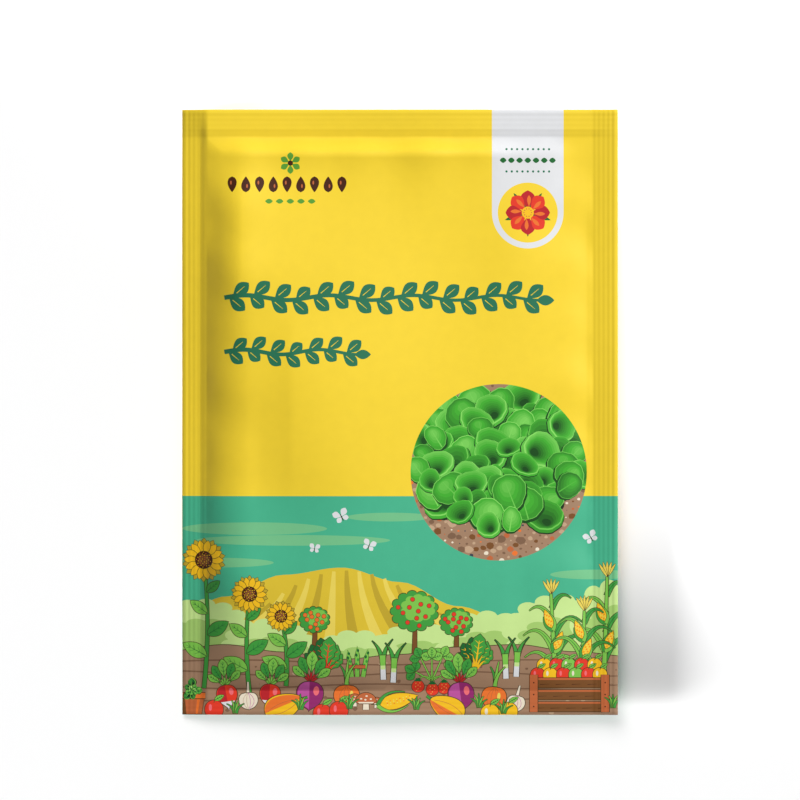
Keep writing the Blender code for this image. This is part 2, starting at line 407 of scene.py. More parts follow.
def curve(start, pull, end, points=10):
    """Points of a quadratic arc."""
    arc = []
    for i in range(points + 1):
        s = i / points
        first, second, third = (1 - s) ** 2, 2 * s * (1 - s), s**2
        arc.append(tuple(first * a + second * b + third * c for a, b, c in zip(start, pull, end)))
    return arc


def stroke(line, width, end_width):
    """The outline of a line that goes from one width to another."""
    left, right = [], []
    for i, (x, y) in enumerate(line):
        ahead, behind = line[min(i + 1, len(line) - 1)], line[max(i - 1, 0)]
        run, climb = ahead[0] - behind[0], ahead[1] - behind[1]
        size = math.hypot(run, climb)
        half = (width + (end_width - width) * i / (len(line) - 1)) / 2
        left.append((x - climb / size * half, y + run / size * half))
        right.append((x + climb / size * half, y - run / size * half))
    return left + right[::-1]


def scallop(x, y, across, up, lobes, depth=0.13, points=7):
    """A bushy outline of round lobes."""
    outline = []
    for i in range(lobes * points):
        turn = math.tau * i / (lobes * points)
        swell = 1 - depth + depth * abs(math.sin(lobes * turn / 2)) ** 0.7
        outline.append((x + across * swell * math.cos(turn), y + up * swell * math.sin(turn)))
    return outline


def spiral(count, far):
    """Evenly scattered spots in a disc, as in the head of a sunflower."""
    spots = []
    for i in range(count):
        out, turn = far * math.sqrt((i + 0.5) / count), i * GOLDEN_ANGLE
        spots.append((out * math.cos(turn), out * math.sin(turn)))
    return spots


def grow(outline, by):
    """The outline moved outwards along its normals."""
    area = sum(a[0] * b[1] - b[0] * a[1] for a, b in zip(outline, outline[1:] + outline[:1]))
    side = math.copysign(by, area)
    grown = []
    for i, (x, y) in enumerate(outline):
        ahead, behind = outline[(i + 1) % len(outline)], outline[i - 1]
        run, climb = ahead[0] - behind[0], ahead[1] - behind[1]
        size = math.hypot(run, climb) or 1
        grown.append((x + climb / size * side, y - run / size * side))
    return grown


class Pen:
    """Draws filled outlines onto one sheet, later ones over earlier ones, at a place, turn and size.

    All pens of one sheet share its random draws. Only what lies in a pen's window, a circle, is drawn.
    """

    def __init__(self, sheet, rng, at=(0, 0), turn=0.0, size=1.0, window=None):
        self.sheet, self.rng, self.window = sheet, rng, window
        self.at, self.turn, self.size = at, turn, size

    def moved(self, at=(0, 0), turn=0.0, size=1.0):
        """A pen placed in this pen's own frame; turn is in degrees, anticlockwise."""
        turned = self.turn + math.radians(turn)
        return Pen(self.sheet, self.rng, self.point(at), turned, self.size * size, self.window)

    def point(self, at):
        x, y = at[0] * self.size, at[1] * self.size
        cos, sin = math.cos(self.turn), math.sin(self.turn)
        return self.at[0] + x * cos - y * sin, self.at[1] + x * sin + y * cos

    def fill(self, outline, ink_name):
        self.sheet.append(([self.point(at) for at in outline], ink_name, self.window))

    def lined(self, outline, ink_name, line=0.15):
        """A filled outline with a contour line round it."""
        self.fill(grow(outline, line / self.size), "contour")
        self.fill(outline, ink_name)

    def dot(self, x, y, across, ink_name, points=28):
        self.fill(oval(x, y, across, points=points), ink_name)

    def band(self, points, width, end_width, ink_name, line=0):
        """A line that goes from one width to another, with a contour if that has a width."""
        outline = stroke(points, width, end_width)
        if line:
            self.lined(outline, ink_name, line)
        else:
            self.fill(outline, ink_name)


# Plants and other drawings; each stands at 0, 0 of its pen


def leaf(pen, length, width, ink_name, belly=0.45, line=0.13):
    """A pointed leaf with a midrib and side veins."""
    pen.lined(blade(length, width, belly), ink_name, line)
    pen.band([(0, length * 0.02), (0, length * 0.86)], 0.16 / pen.size, 0.06 / pen.size, "leaf_dark")
    for share in (0.3, 0.5, 0.68):
        for side in (-1, 1):
            tip = (side * width * 0.30 * (1.25 - share), length * (share + 0.13))
            pen.band([(0, length * share), tip], 0.10 / pen.size, 0.05 / pen.size, "leaf_dark")


def tuft(pen, height=3.0, spread=1.8):
    """Five grass-like blades."""
    for i in range(5):
        lean = (i / 4 - 0.5) * 2
        right = lean * spread + pen.rng.uniform(-0.1, 0.1) * spread
        tall = height * (1 - 0.35 * abs(lean)) * pen.rng.uniform(0.85, 1.1)
        arc = curve((lean * 0.25, 0), (lean * spread * 0.25, tall * 0.75), (right, tall), 7)
        pen.band(arc, 0.55, 0.08, ("leaf", "leaf_light")[i % 2], 0.1)


def sunflower(pen, height, head, bend, droop):
    stem = curve((0, 0), (bend, height * 0.5), (0.0, height), 12)
    pen.band(stem, 0.85, 0.55, "leaf", 0.13)
    for at, turn, length in ((0.22, 62, 5.6), (0.40, -58, 5.2), (0.58, 54, 4.4), (0.74, -50, 3.6)):
        frond = pen.moved(stem[round(at * 12)], turn)
        leaf(frond, length, length * 0.52, "leaf_light" if turn > 0 else "leaf")
    top = pen.moved((0, height), droop)
    petals = 14
    for turn, size, ink_name in ((180 / petals, 1.0, "field_dark"), (0, 0.88, "gold")):
        petal = fitted(blade(head * 1.02 * size, head * 0.42, 0.55, 8), up=head * 0.52 * 0.6)
        for i in range(petals):
            top.moved(turn=360 * i / petals + turn).lined(petal, ink_name, 0.1)
    top.lined(oval(0, 0, head * 0.52), "brown", 0.1)
    top.dot(0, 0, head * 0.34, "wood")
    for i, (x, y) in enumerate(spiral(34, head * 0.48)):
        top.dot(x, y, 0.11, "gold" if i % 3 else "clay", 6)


def cob(pen, length):
    pen.lined(blade(length, length * 0.36, 0.42), "gold", 0.13)
    for row in range(3, 11):
        for column in (-1, 0, 1):
            kernel = oval(column * 0.36, length * row / 12.5, 0.13, 0.15, 8)
            pen.fill(kernel, "orange" if (row + column) % 3 == 0 else "field_light")
    for side in (-1, 1):
        husk = curve((0, 0), (side * length * 0.36, length * 0.25), (side * length * 0.16, length * 0.72), 8)
        pen.band(husk, 0.75, 0.1, "leaf" if side < 0 else "leaf_light", 0.1)


def maize(pen, height, lean):
    stem = curve((0, 0), (lean * 0.6, height * 0.5), (lean, height), 12)
    for share, side, length in (
        (0.12, -1, 8), (0.22, 1, 8.5), (0.36, -1, 8), (0.5, 1, 7.5), (0.66, -1, 6), (0.8, 1, 5),
    ):
        x, y = stem[round(share * 12)]
        pull = (x + side * length * 0.35, y + length * 0.85)
        tip = (x + side * length * 0.8, y + length * 0.42)
        arc = curve((x, y), pull, tip)
        pen.band(arc, 1.25, 0.12, "leaf" if side > 0 else "leaf_light", 0.13)
        pen.band(arc[:-1], 0.14, 0.05, "leaf_dark")
    pen.band(stem, 0.95, 0.5, "leaf_light", 0.13)
    for turn in (-32, -16, 0, 16, 32):
        pen.moved(stem[-1], turn).lined(blade(3.2, 0.5), "field_light", 0.09)
    for share, side in ((0.36, 1), (0.55, -1)):
        cob(pen.moved(stem[round(share * 12)], -side * 22), 4.6)


def bulb(radius, tail, neck=0.25):
    """A root's outline, hanging from its crown at 0, 0: round shoulders and a thin tail."""
    outline = []
    for i in range(29):
        share = i / 30
        half = radius * math.sqrt(1 - (2 * share - 1) ** 2) * (1 - 0.18 * share) + neck * (1 - share) ** 6
        outline.append((half, -radius * 2 * share * 0.92))
    outline.append((0.10, -radius * 2 * 0.92 - tail * 0.5))
    outline.append((0, -radius * 2 * 0.92 - tail))
    return outline + [(-x, y) for x, y in outline[-2::-1]]


def root(pen, radius, leaf_length, body, shade, stalk, tail):
    """A radish or beetroot with its leaves."""
    for i in range(5):
        lean = (i - 2) * 26
        frond = pen.moved((0, -0.1), -lean)
        reach = leaf_length * (1 - 0.12 * abs(i - 2))
        frond.band([(0, 0), (0, reach * 0.6)], 0.42, 0.3, stalk, 0.1)
        tone = "leaf" if i % 2 else "leaf_light"
        leaf(frond.moved((0, reach * 0.32)), reach * 0.72, reach * 0.36, tone, 0.6)
    outline = bulb(radius, tail)
    pen.lined(outline, body)
    left_half = [(x, y) for x, y in bulb(radius, tail * 0.6) if x <= 0.001]
    pen.fill(fitted(left_half, 0.93, 0.985, 0, -0.02), shade)
    pen.fill(oval(radius * 0.42, -radius * 0.62, radius * 0.20, radius * 0.32), "pink")
    if body == "red":
        pen.fill([(x * 0.95, y) for x, y in outline if y < -radius * 1.45], "white")


def onion(pen, radius):
    for turn, length in ((-14, 4.2), (3, 5.4), (18, 4.4)):
        arc = curve((0, 0.2), (0, length * 0.6), (math.sin(math.radians(turn)) * length * 1.3, length), 8)
        pen.band(arc, 0.8, 0.14, "leaf_light" if turn > 0 else "leaf", 0.12)
    pen.lined(fitted(bulb(radius, 0.3, 0.45), 1.06, 0.94), "orange")
    for share in (-0.62, -0.25, 0.2, 0.6):
        vein = curve((share * 0.2, -0.1), (share * radius * 1.7, -radius), (share * 0.3, -radius * 1.72))
        pen.band(vein, 0.1, 0.1, "clay")
    pen.fill(oval(radius * 0.38, -radius * 0.7, radius * 0.13, radius * 0.3), "field_light")
    for lean in (-0.5, -0.2, 0.15, 0.45):
        hair = [(lean * 0.6, -radius * 1.72), (lean * 1.6, -radius * 1.72 - 0.7)]
        pen.band(hair, 0.09, 0.05, "contour")


def leek(pen, height):
    for side, length in ((-1, 0.46), (1, 0.50), (-1, 0.34), (1, 0.30)):
        tip = (side * height * length * 0.55, height * (0.72 + length * 0.6))
        arc = curve((side * 0.1, height * 0.50), (side * 0.5, height * 0.8), tip, 8)
        pen.band(arc, 0.95, 0.15, "leaf_dark" if length > 0.45 else "leaf", 0.12)
    waist, top = height * 0.55, height * 0.62
    pen.lined([(-0.55, 0), (0.55, 0), (0.5, waist), (0.62, top), (-0.62, top), (-0.5, waist)], "white", 0.14)
    pen.fill(flared(0.5, 0.6, height * 0.34, top), "leaf_light")
    pen.fill(flared(0.48, 0.5, height * 0.26, height * 0.36), "meadow")


def chard(pen, height, stalk):
    """A tuft of upright ruffled leaves on coloured stalks."""
    for i, lean in enumerate((-42, 40, -24, 23, -6, 8)):
        frond = pen.moved(turn=-lean)
        reach = height * pen.rng.uniform(0.86, 1.0) * (1 - abs(lean) / 150)
        outline = blade(reach * 0.74, reach * 0.40, 0.56, 22)
        ruffled = [(x * (1 + 0.13 * math.sin(y * 4.6 + i)), y + reach * 0.26) for x, y in outline]
        frond.lined(ruffled, "leaf" if i % 2 else "leaf_dark", 0.13)
        frond.band([(0, 0), (0, reach * 0.82)], 0.52, 0.12, stalk)
        for share in (0.45, 0.6, 0.74):
            for side in (-1, 1):
                vein = [(0, reach * share), (side * reach * 0.11, reach * (share + 0.08))]
                frond.band(vein, 0.14, 0.06, stalk)


def strawberry(pen):
    for lean, length in ((-62, 3.6), (60, 3.8), (-26, 4.8), (24, 5.0), (0, 4.2)):
        stalk = pen.moved(turn=-lean)
        stalk.band([(0, 0), (0, length)], 0.28, 0.2, "leaf_light", 0.09)
        for turn in (72, -72, 0):
            leaf(stalk.moved((0, length), turn), 2.1, 1.6, "leaf" if lean < 0 else "leaf_light", 0.55, 0.11)
    heart = [(x * (1.12 - 0.1 * y), y + 0.55) for x, y in oval(0, -1.0, 0.95, 1.15, 20)]
    pips = ((-0.4, 0.1), (0.35, 0.15), (0, -0.25), (-0.45, -0.55), (0.42, -0.5), (0, -0.95), (-0.25, -1.25))
    for x, y in ((-2.6, -0.6), (2.3, -0.9), (0.1, -1.2)):
        pen.band(curve((0, 0.3), (x * 0.7, 1.4), (x, y + 0.6), 8), 0.2, 0.16, "leaf_light", 0.08)
        berry = pen.moved((x, y))
        berry.lined(heart, "red", 0.12)
        for right, up in pips:
            berry.fill(oval(right, up, 0.07, 0.1, 6), "field_light")
        for turn in (-70, -35, 0, 35, 70):
            berry.moved((0, 0.5), turn).fill(blade(0.75, 0.36), "leaf_dark")


def pot(pen, width, height):
    """A clay pot: its body with a shaded and a lit side, and its rim."""
    half, brim = width / 2, height * 0.74
    pen.lined(flared(width * 0.36, width * 0.46, 0, height * 0.8), "clay")
    for (foot, far_foot, low), (far_head, head, high), tone in (
        ((-0.36, -0.2, 0), (-0.27, -0.46, 0.8), "wood"),
        ((0.14, 0.22, 0.1), (0.30, 0.2, 0.75), "orange"),
    ):
        low_side = [(width * foot, low), (width * far_foot, low)]
        pen.fill(low_side + [(width * far_head, height * high), (width * head, height * high)], tone)
    pen.lined(rectangle(-half, brim, half, height), "orange")
    pen.fill(rectangle(-half, brim, -width * 0.3, height), "clay")


def fruit_tree(pen, height, fruit):
    pen.band([(0, 0), (0.15, height * 0.6)], 1.0, 0.7, "wood", 0.12)
    pen.lined(scallop(0, height * 0.72, height * 0.40, height * 0.34, 13), "leaf", 0.14)
    pen.fill(scallop(height * 0.06, height * 0.77, height * 0.29, height * 0.23, 10), "leaf_light")
    fruits = 11
    for i in range(fruits):
        out = height * 0.30 * math.sqrt((i + 0.5) / fruits)
        turn = i * GOLDEN_ANGLE + pen.rng.uniform(-0.2, 0.2)
        at = (out * math.cos(turn), height * 0.72 + out * 0.85 * math.sin(turn))
        pen.lined(oval(*at, 0.42, points=12), fruit, 0.09)


def apple(pen, radius, skin):
    pen.lined(scallop(0, 0, radius, radius * 0.94, 2, 0.06, 14), skin, 0.13)
    shine = oval(-radius * 0.38, radius * 0.2, radius * 0.16, radius * 0.34)
    pen.fill(shine, "pink" if skin == "red" else "cream")
    pen.band(curve((0, radius * 0.7), (0.1, radius), (0.3, radius * 1.3), 4), 0.2, 0.2, "wood")
    leaf(pen.moved((0.1, radius * 0.95), -62), radius * 1.1, radius * 0.5, "leaf_light", line=0.09)


def crate(pen, width, height):
    """A slatted wooden crate full of apples."""
    skins = ("red", "gold", "red", "leaf_light")
    for row, apples in ((1, 5), (0, 6)):
        for i in range(apples):
            x = (i - (apples - 1) / 2) * width / 6.4 + pen.rng.uniform(-0.2, 0.2)
            at = (x, height + 0.2 + row * width * 0.12)
            apple(pen.moved(at), width * 0.094, skins[(i + row) % 4])
    half, slats = width / 2, 3
    for i in range(slats):
        low = height * i / slats
        pen.lined(rectangle(-half, low, half, low + height / 3.7), "wood", 0.14)
        pen.fill(rectangle(-half, low + height / 4.6, half, low + height / 3.7), "clay")
        for k in range(5):
            x = -half + width * (k + 0.3 + 0.17 * i) / 5
            pen.band([(x, low + height * 0.09), (x + width * 0.12, low + height * 0.1)], 0.12, 0.05, "brown")
    for x in (-half, half - width * 0.1):
        pen.lined(rectangle(x, -0.1, x + width * 0.1, height + 0.2), "clay", 0.14)
        for i in range(slats):
            pen.dot(x + width * 0.05, height * (i / slats + 0.14), 0.16, "brown", 8)


def asparagus(pen, height):
    for x, turn, long in ((-1.1, 9, 0.88), (1.2, -10, 0.92), (0, 0, 1.0)):
        spear = pen.moved((x, 0), turn)
        tall = height * long
        body = [(-0.42, 0), (0.42, 0), (0.42, tall * 0.7), (0, tall), (-0.42, tall * 0.7)]
        spear.lined(body, "leaf_light", 0.12)
        for k in range(5):
            scale = spear.moved((0.16 * (-1) ** k, tall * (0.2 + 0.15 * k)))
            scale.fill(blade(0.75, 0.5), "leaf_dark" if k > 2 else "leaf")
    pen.lined(rectangle(-1.7, height * 0.28, 1.7, height * 0.38), "clay", 0.1)


def mushrooms(pen):
    dome = [(1.7 * math.cos(math.pi * i / 16), 1.5 * math.sin(math.pi * i / 16)) for i in range(17)]
    for x, y, size in ((-1.9, 0.2, 0.72), (1.7, -0.2, 0.62), (0, 0, 1.0)):
        cap = pen.moved((x, y), size=size)
        cap.lined(flared(0.5, 0.4, -1.3, 0.4), "cream", 0.13)
        cap.lined(dome + [(-1.2, -0.28), (1.2, -0.28)], "clay", 0.13)
        cap.fill(flared(1.35, 1.1, -0.02, -0.26), "cream")
        for right, up in ((-0.8, 0.5), (0.1, 0.95), (0.8, 0.45), (-0.1, 0.35)):
            cap.fill(oval(right, up, 0.2, 0.14, 8), "cream")


def garlic(pen, radius):
    pen.band([(0, -0.2), (0.2, radius * 1.1)], 0.6, 0.3, "cream", 0.12)
    pen.lined(fitted(bulb(radius, 0.1, 0.5), tall=0.86), "cream", 0.14)
    for share in (-0.55, -0.18, 0.2, 0.58):
        pull, end = (share * radius * 1.8, -radius * 0.8), (share * 0.3, -radius * 1.55)
        vein = curve((share * 0.2, 0), pull, end, 8)
        pen.band(vein, 0.09, 0.09, "purple_light" if share > 0 else "soil_light")


def squash(pen, size):
    """A pear-shaped squash with its stalk up."""
    outline = []
    for x, up in oval(0, 0, 1, points=34):
        outline.append((size * (0.62 - 0.2 * up) * x, size * (0.95 + 0.98 * up)))
    pen.band([(0, size * 1.8), (0.2, size * 2.2)], 0.5, 0.4, "leaf", 0.12)
    pen.lined(outline, "gold")
    pen.fill([(x * 0.9, y) for x, y in outline if x <= 0], "orange")
    for share in (-0.3, 0.35):
        vein = curve((share * 0.5, size * 1.75), (share * size * 1.2, size * 0.8), (share, size * 0.1), 8)
        pen.band(vein, 0.1, 0.1, "clay")


def butterfly(pen):
    for side in (-1, 1):
        pen.moved((0, 0.1), -side * 48).fill(blade(2.0, 1.35, 0.62, 9), "white")
        pen.moved(turn=-side * 118).fill(blade(1.45, 1.1, 0.6, 9), "white")
    pen.fill(oval(0, -0.1, 0.13, 0.8, 10), "contour")


def rosette(pen, radius, leaves):
    """A salad rosette seen from above: spoon-shaped leaves, the outer ones below the young ones."""
    tones = ("leaf_dark", "leaf", "leaf_light", "meadow")
    for i in range(leaves):
        share = i / (leaves - 1)
        length = radius * (1.0 - 0.74 * share**0.8) * pen.rng.uniform(0.94, 1.06)
        width = length * (0.60 + 0.16 * share)
        spoon = pen.moved(turn=math.degrees(i * GOLDEN_ANGLE))
        outline = blade(length, width, 0.66, 16)
        spoon.fill(fitted(outline, 1.16, 1.04, 0.12, -0.10), "night")
        tone = min(2, int(share * 2.2 + pen.rng.uniform(0, 0.8)))
        own, lighter = tones[tone], tones[tone + 1]
        spoon.fill(outline, "meadow" if own == "leaf_light" else "leaf_light")
        side = pen.rng.choice((-1, 1))
        spoon.fill(fitted(outline, 0.88, 0.965, side * width * 0.035), own)
        cup = "night" if own == "leaf_dark" else "leaf_dark"
        spoon.fill(fitted(outline, 0.46, 0.62, -side * width * 0.10, length * 0.06), cup)
        spoon.fill(fitted(outline, 0.26, 0.46, side * width * 0.22, length * 0.42), lighter)
        rib = [(0, length * 0.05), (side * width * 0.04, length * 0.5), (0, length * 0.9)]
        spoon.band(rib, 0.22, 0.06, "leaf" if own == "leaf_light" else "leaf_light")


def pebbles(pen, places, largest, tones):
    rng = pen.rng
    for x, y in places:
        size = largest * rng.uniform(0.3, 1.0) ** 1.6
        lump = []
        for across, up in oval(0, 0, 1, points=8):
            across, up = across * size * rng.uniform(0.8, 1.15), up * size * rng.uniform(0.65, 0.95)
            lump.append((x + across, y + up))
        pen.fill(lump, rng.choice(tones))


def wavy_ring(wide, rng):
    """Makes a function that gives an uneven ring of any size, at any height."""
    first, second = rng.uniform(0, math.tau), rng.uniform(0, math.tau)
    points = 30
    unit = []
    for i in range(points):
        t = math.tau * i / points
        swell = 1 + 0.07 * math.sin(2 * t + first) + 0.045 * math.sin(3 * t + second)
        unit.append((t, swell + 0.022 * math.sin(10 * t)))

    def ring(size, up=0.0, right=0.0):
        return [(size * wide * s * math.cos(t) + right, size * s * math.sin(t) + up) for t, s in unit]

    return ring


def shades(pen, ring, sizes, ups, tones, right):
    """Nested rings from one size, height and tone to another, which read as one soft gradient."""
    steps = max(2, abs(tones[1] - tones[0]) + 1)
    for step in range(steps):
        share = step / (steps - 1)
        size, up, tone = (a + (b - a) * share for a, b in (sizes, ups, tones))
        pen.fill(ring(size, up, right * share), f"salad_{round(tone)}")


def cupped_leaf(pen, radius, tone):
    """A cupped salad leaf: the outside of its near wall, a bright rim, and a hollow dark in its throat."""
    ring = wavy_ring(pen.rng.uniform(1.0, 1.45), pen.rng)
    size = radius * 0.86
    side = pen.rng.uniform(-0.3, 0.3) * size
    pen.fill(ring(size * 1.02, -0.23 * size), "night")
    pen.fill(ring(size, -0.17 * size), f"salad_{tone + 2}")
    pen.fill(ring(size * 0.96, -0.02 * size), f"salad_{max(tone - 3, 0)}")
    pen.fill(ring(size * 0.91, 0.02 * size), f"salad_{tone + 1}")
    shades(pen, ring, (size * 0.84, size * 0.22), (-0.04 * size, -0.50 * size), (tone + 2, 12), side)


def open_leaf(pen, radius, tone):
    """A round salad leaf seen from above: a pale rim, a face lightest at its far end, and a faint midrib."""
    ring = wavy_ring(pen.rng.uniform(0.8, 1.1), pen.rng)
    side = pen.rng.uniform(-0.25, 0.25) * radius
    pen.fill(ring(radius * 1.05, -0.12 * radius), "salad_12")
    pen.fill(ring(radius), f"salad_{max(tone - 2, 0)}")
    shades(pen, ring, (radius * 0.96, radius * 0.30), (-0.01 * radius, 0.34 * radius), (tone + 4, tone), side)
    rib = curve((0.05 * radius, -radius * 0.95), (side * 0.3, 0), (side * 0.4, radius * 0.6), 8)
    pen.band(rib, 0.26, 0.08, f"salad_{max(tone - 1, 0)}")


def hill(heights):
    """A strip of ground across the whole sheet, under a smooth line through heights given at even steps."""
    line, steps = [], 60
    for i in range(steps + 1):
        x = SHEET_LEFT + (SHEET_RIGHT - SHEET_LEFT) * i / steps
        at = (len(heights) - 1) * i / steps
        low = min(int(at), len(heights) - 2)
        ease = (1 - math.cos(math.pi * (at - low))) / 2
        line.append((x, heights[low] + (heights[low + 1] - heights[low]) * ease))
    return line + [(SHEET_RIGHT, -SHEET_TOP), (SHEET_LEFT, -SHEET_TOP)]


# The printed front, in millimetres

FIELD_EDGE = -17.3
# The ribbon's left and right edges, and the height of its round end's centre
RIBBON = (19.0, 33.8, 41.2)
# The round picture: centre and radius
PICTURE = (20.4, -12.4, 18.2)
GARLANDS = ((-36.2, 23.6, 65.0, 15), (-36.2, 12.4, 27.5, 7))
SIGN_X, SIGN_Y = -22.6, 51.4
SEED_ROW_Y, LEAF_ROW_Y = 47.0, 43.5

# The sky's pale bands, and the hedges with their number of lobes: centre, reach across and up
HAZE = (
    (-30, -24, 15, 1.3), (-22, -26.4, 20, 1.1), (-2, -21.6, 9, 0.9), (40, -33.5, 9, 1.0), (-38, -31, 12, 1.0),
)
HEDGES = (
    (-41, -45, 11, 6.5, 15), (-27, -48, 10, 5.5, 13), (4, -49, 10, 5.6, 13), (18, -47.5, 11, 6.6, 14),
    (33, -45.5, 12, 8.0, 15), (44, -44, 9, 9.5, 13), (-9, -50, 9, 5.2, 12),
)
GOLDEN_HILL = (-44, -38, -33.5, -32, -35, -40, -44, -45, -44)
BED_EDGE = (-49.5, -48, -49.5, -51, -50, -48.5, -48, -49.5, -50.5)
TREES = ((3.0, -50, 12.5, "red"), (-17.6, -48.5, 8.0, "orange"), (11.6, -49.5, 8.6, "red"))

# Roots: inks of the body, its shade and the stalks, and length of the tail
RADISH = ("red", "red_dark", "leaf_light", 1.0)
BEET = ("purple", "purple_light", "red_dark", 0.7)

# What stands in the bed and flies over it, rear to front: its maker, what that asks for, and each place,
# with its turn in degrees and its size where they aren't 0 and 1
BED = (
    (sunflower, (26.5, 3.4, 1.5, 12), ((-40.5, -57.0),)),
    (sunflower, (21.0, 2.9, -1.2, 12), ((-31.0, -58.5),)),
    (sunflower, (14.5, 2.4, 1.2, 0), ((-23.5, -56.5, 4),)),
    (maize, (23.0, 0.8), ((42.0, -57.0),)),
    (maize, (18.0, -1.0), ((32.2, -55.5),)),
    (maize, (15.0, 0.6), ((37.5, -56.0),)),
    (asparagus, (6.4,), ((-8.8, -54.6),)),
    (chard, (8.4, "red"), ((-15.5, -54.2),)),
    (chard, (8.2, "gold"), ((15.5, -53.4),)),
    (leek, (8.2,), ((-3.4, -55.2, 2), (-1.4, -55.8, -3), (24.0, -54.6, -3), (21.9, -55.0, 2))),
    (strawberry, (), ((6.6, -55.4, 0, 1.1),)),
    (root, (2.3, 5.4, *RADISH), ((-36.0, -56.4, 8), (-26.6, -56.2, -6))),
    (root, (3.0, 6.2, *BEET), ((-18.4, -55.6, -4),)),
    (root, (2.9, 6.0, *BEET), ((12.4, -55.8, 5),)),
    (onion, (2.7,), ((-11.0, -56.4),)),
    (onion, (2.6,), ((19.6, -56.8, -5),)),
    (crate, (16.4, 7.4), ((35.0, -61.8),)),
    (pot, (5.6, 4.4), ((-43.0, -62.4),)),
    (rosette, (4.2, 12), ((-43.0, -57.6, 0, 0.62),)),
    (mushrooms, (), ((-7.0, -59.8, 0, 1.25),)),
    (cob, (8.6,), ((-4.6, -60.6, -76),)),
    (garlic, (2.1,), ((-31.4, -58.0, 4),)),
    (garlic, (2.0,), ((24.2, -58.6, -10),)),
    (squash, (4.2,), ((-27.6, -62.4, -66),)),
    (squash, (3.9,), ((13.0, -62.8, 62),)),
    (apple, (2.0, "red"), ((-38.4, -61.4), (-16.0, -62.2), (-12.6, -61.6))),
    (apple, (2.0, "gold"), ((18.6, -62.2), (22.4, -61.8))),
    (tuft, (), ((-34.0, -62.2), (-20.5, -61.4), (-10.4, -61.2), (3.4, -61.4))),
    (tuft, (), ((16.4, -61.0), (21.4, -62.2), (44.0, -61.0))),
    (butterfly, (), ((-12.0, -21.6, 25), (-6.4, -27.6, -20, 0.85))),
    (butterfly, (), ((-17.6, -28.2, -8, 0.7), (39.5, -26.0, 30, 0.9))),
)


def draw_garland(pen, length, pairs):
    """A dark green stem with a pair of full leaves at each step."""
    wave = [(length * i / 60, 0.5 * math.sin(math.tau * i / 60 * pairs / 4)) for i in range(61)]
    pen.band(wave, 0.95, 0.6, "garland")
    step = length / pairs
    for i in range(pairs):
        x = step * (i + 0.28)
        y = 0.5 * math.sin(math.tau * x / length * pairs / 4)
        for side in (-1, 1):
            frond = pen.moved((x + (0.5 if side > 0 else -0.3), y), -50 if side > 0 else -130)
            long = step * (1.02 if (i + side) % 4 else 0.9)
            frond.fill(blade(long, step * 0.62, 0.58), "garland")
            frond.band([(0, long * 0.25), (0, long * 0.74)], 0.16, 0.06, "yellow")
    pen.moved((length - 0.6, wave[-1][1]), -90).fill(blade(step * 0.85, step * 0.5, 0.5), "garland")


def draw_ornaments(pen):
    """The upper field: two garlands, a flower over a row of seeds and a row of leaves, and the ribbon."""
    for x, y, length, pairs in GARLANDS:
        draw_garland(pen.moved((x, y)), length, pairs)
    for i in range(9):
        seed = pen.moved((-34.6 + 2.83 * i, SEED_ROW_Y), 0 if i % 2 else 180)
        seed.fill(fitted(blade(3.3, 1.9, 0.38), up=-1.65), "brown")
        seed.fill(oval(0.25, -0.35, 0.18, 0.42, 10), "clay")
    for i in range(6):
        pen.moved((SIGN_X, SIGN_Y), 60 * i).fill(fitted(blade(1.9, 1.25, 0.6, 9), up=0.35), "sprig")
    pen.dot(SIGN_X, SIGN_Y, 0.55, "brown", 14)
    for i in range(5):
        pen.moved((-27.0 + 2.2 * i, LEAF_ROW_Y), 90).fill(fitted(blade(1.6, 1.0, 0.5, 9), up=-0.8), "sprig")
    draw_ribbon(pen)


def draw_ribbon(pen):
    """The white ribbon: two dotted rows with a row of leaves between them, and a blossom in its round end."""
    left, right, foot = RIBBON
    middle, radius = (left + right) / 2, (right - left) / 2
    turns = [math.pi * i / 36 for i in range(37)]
    half_round = [(middle + radius * math.cos(t), foot - radius * math.sin(t)) for t in turns]
    pen.fill([(left, SHEET_TOP), (right, SHEET_TOP)] + half_round, "white")
    for y in (54.3, 49.7):
        for i in range(9):
            pen.dot(middle - 4.4 + 8.8 * i / 8, y, 0.24, "garland", 10)
    for i in range(7):
        small = pen.moved((middle - 5.1 + 1.7 * i, 52.0), -90 if i % 2 else 90)
        small.fill(fitted(blade(1.4, 1.1, 0.5, 8), up=-0.7), "leaf_dark")
    pen.dot(middle, foot, 6.2, "yellow", 64)
    blossom = pen.moved((middle, foot))
    for i in range(5):
        blossom.moved(turn=72 * i + 36).fill(blade(5.0, 1.1, 0.5), "leaf_dark")
    for i in range(8):
        petal = blossom.moved(turn=45 * i)
        petal.fill(fitted(blade(4.2, 2.9, 0.66, 16), up=0.4), "red" if i % 2 else "red_dark")
        petal.fill(fitted(blade(2.4, 0.8, 0.6), right=0.25, up=1.2), "orange")
    blossom.dot(0, 0, 1.25, "gold", 24)
    for x, y in oval(0, 0, 0.8, points=10):
        blossom.dot(x, y, 0.13, "clay", 6)


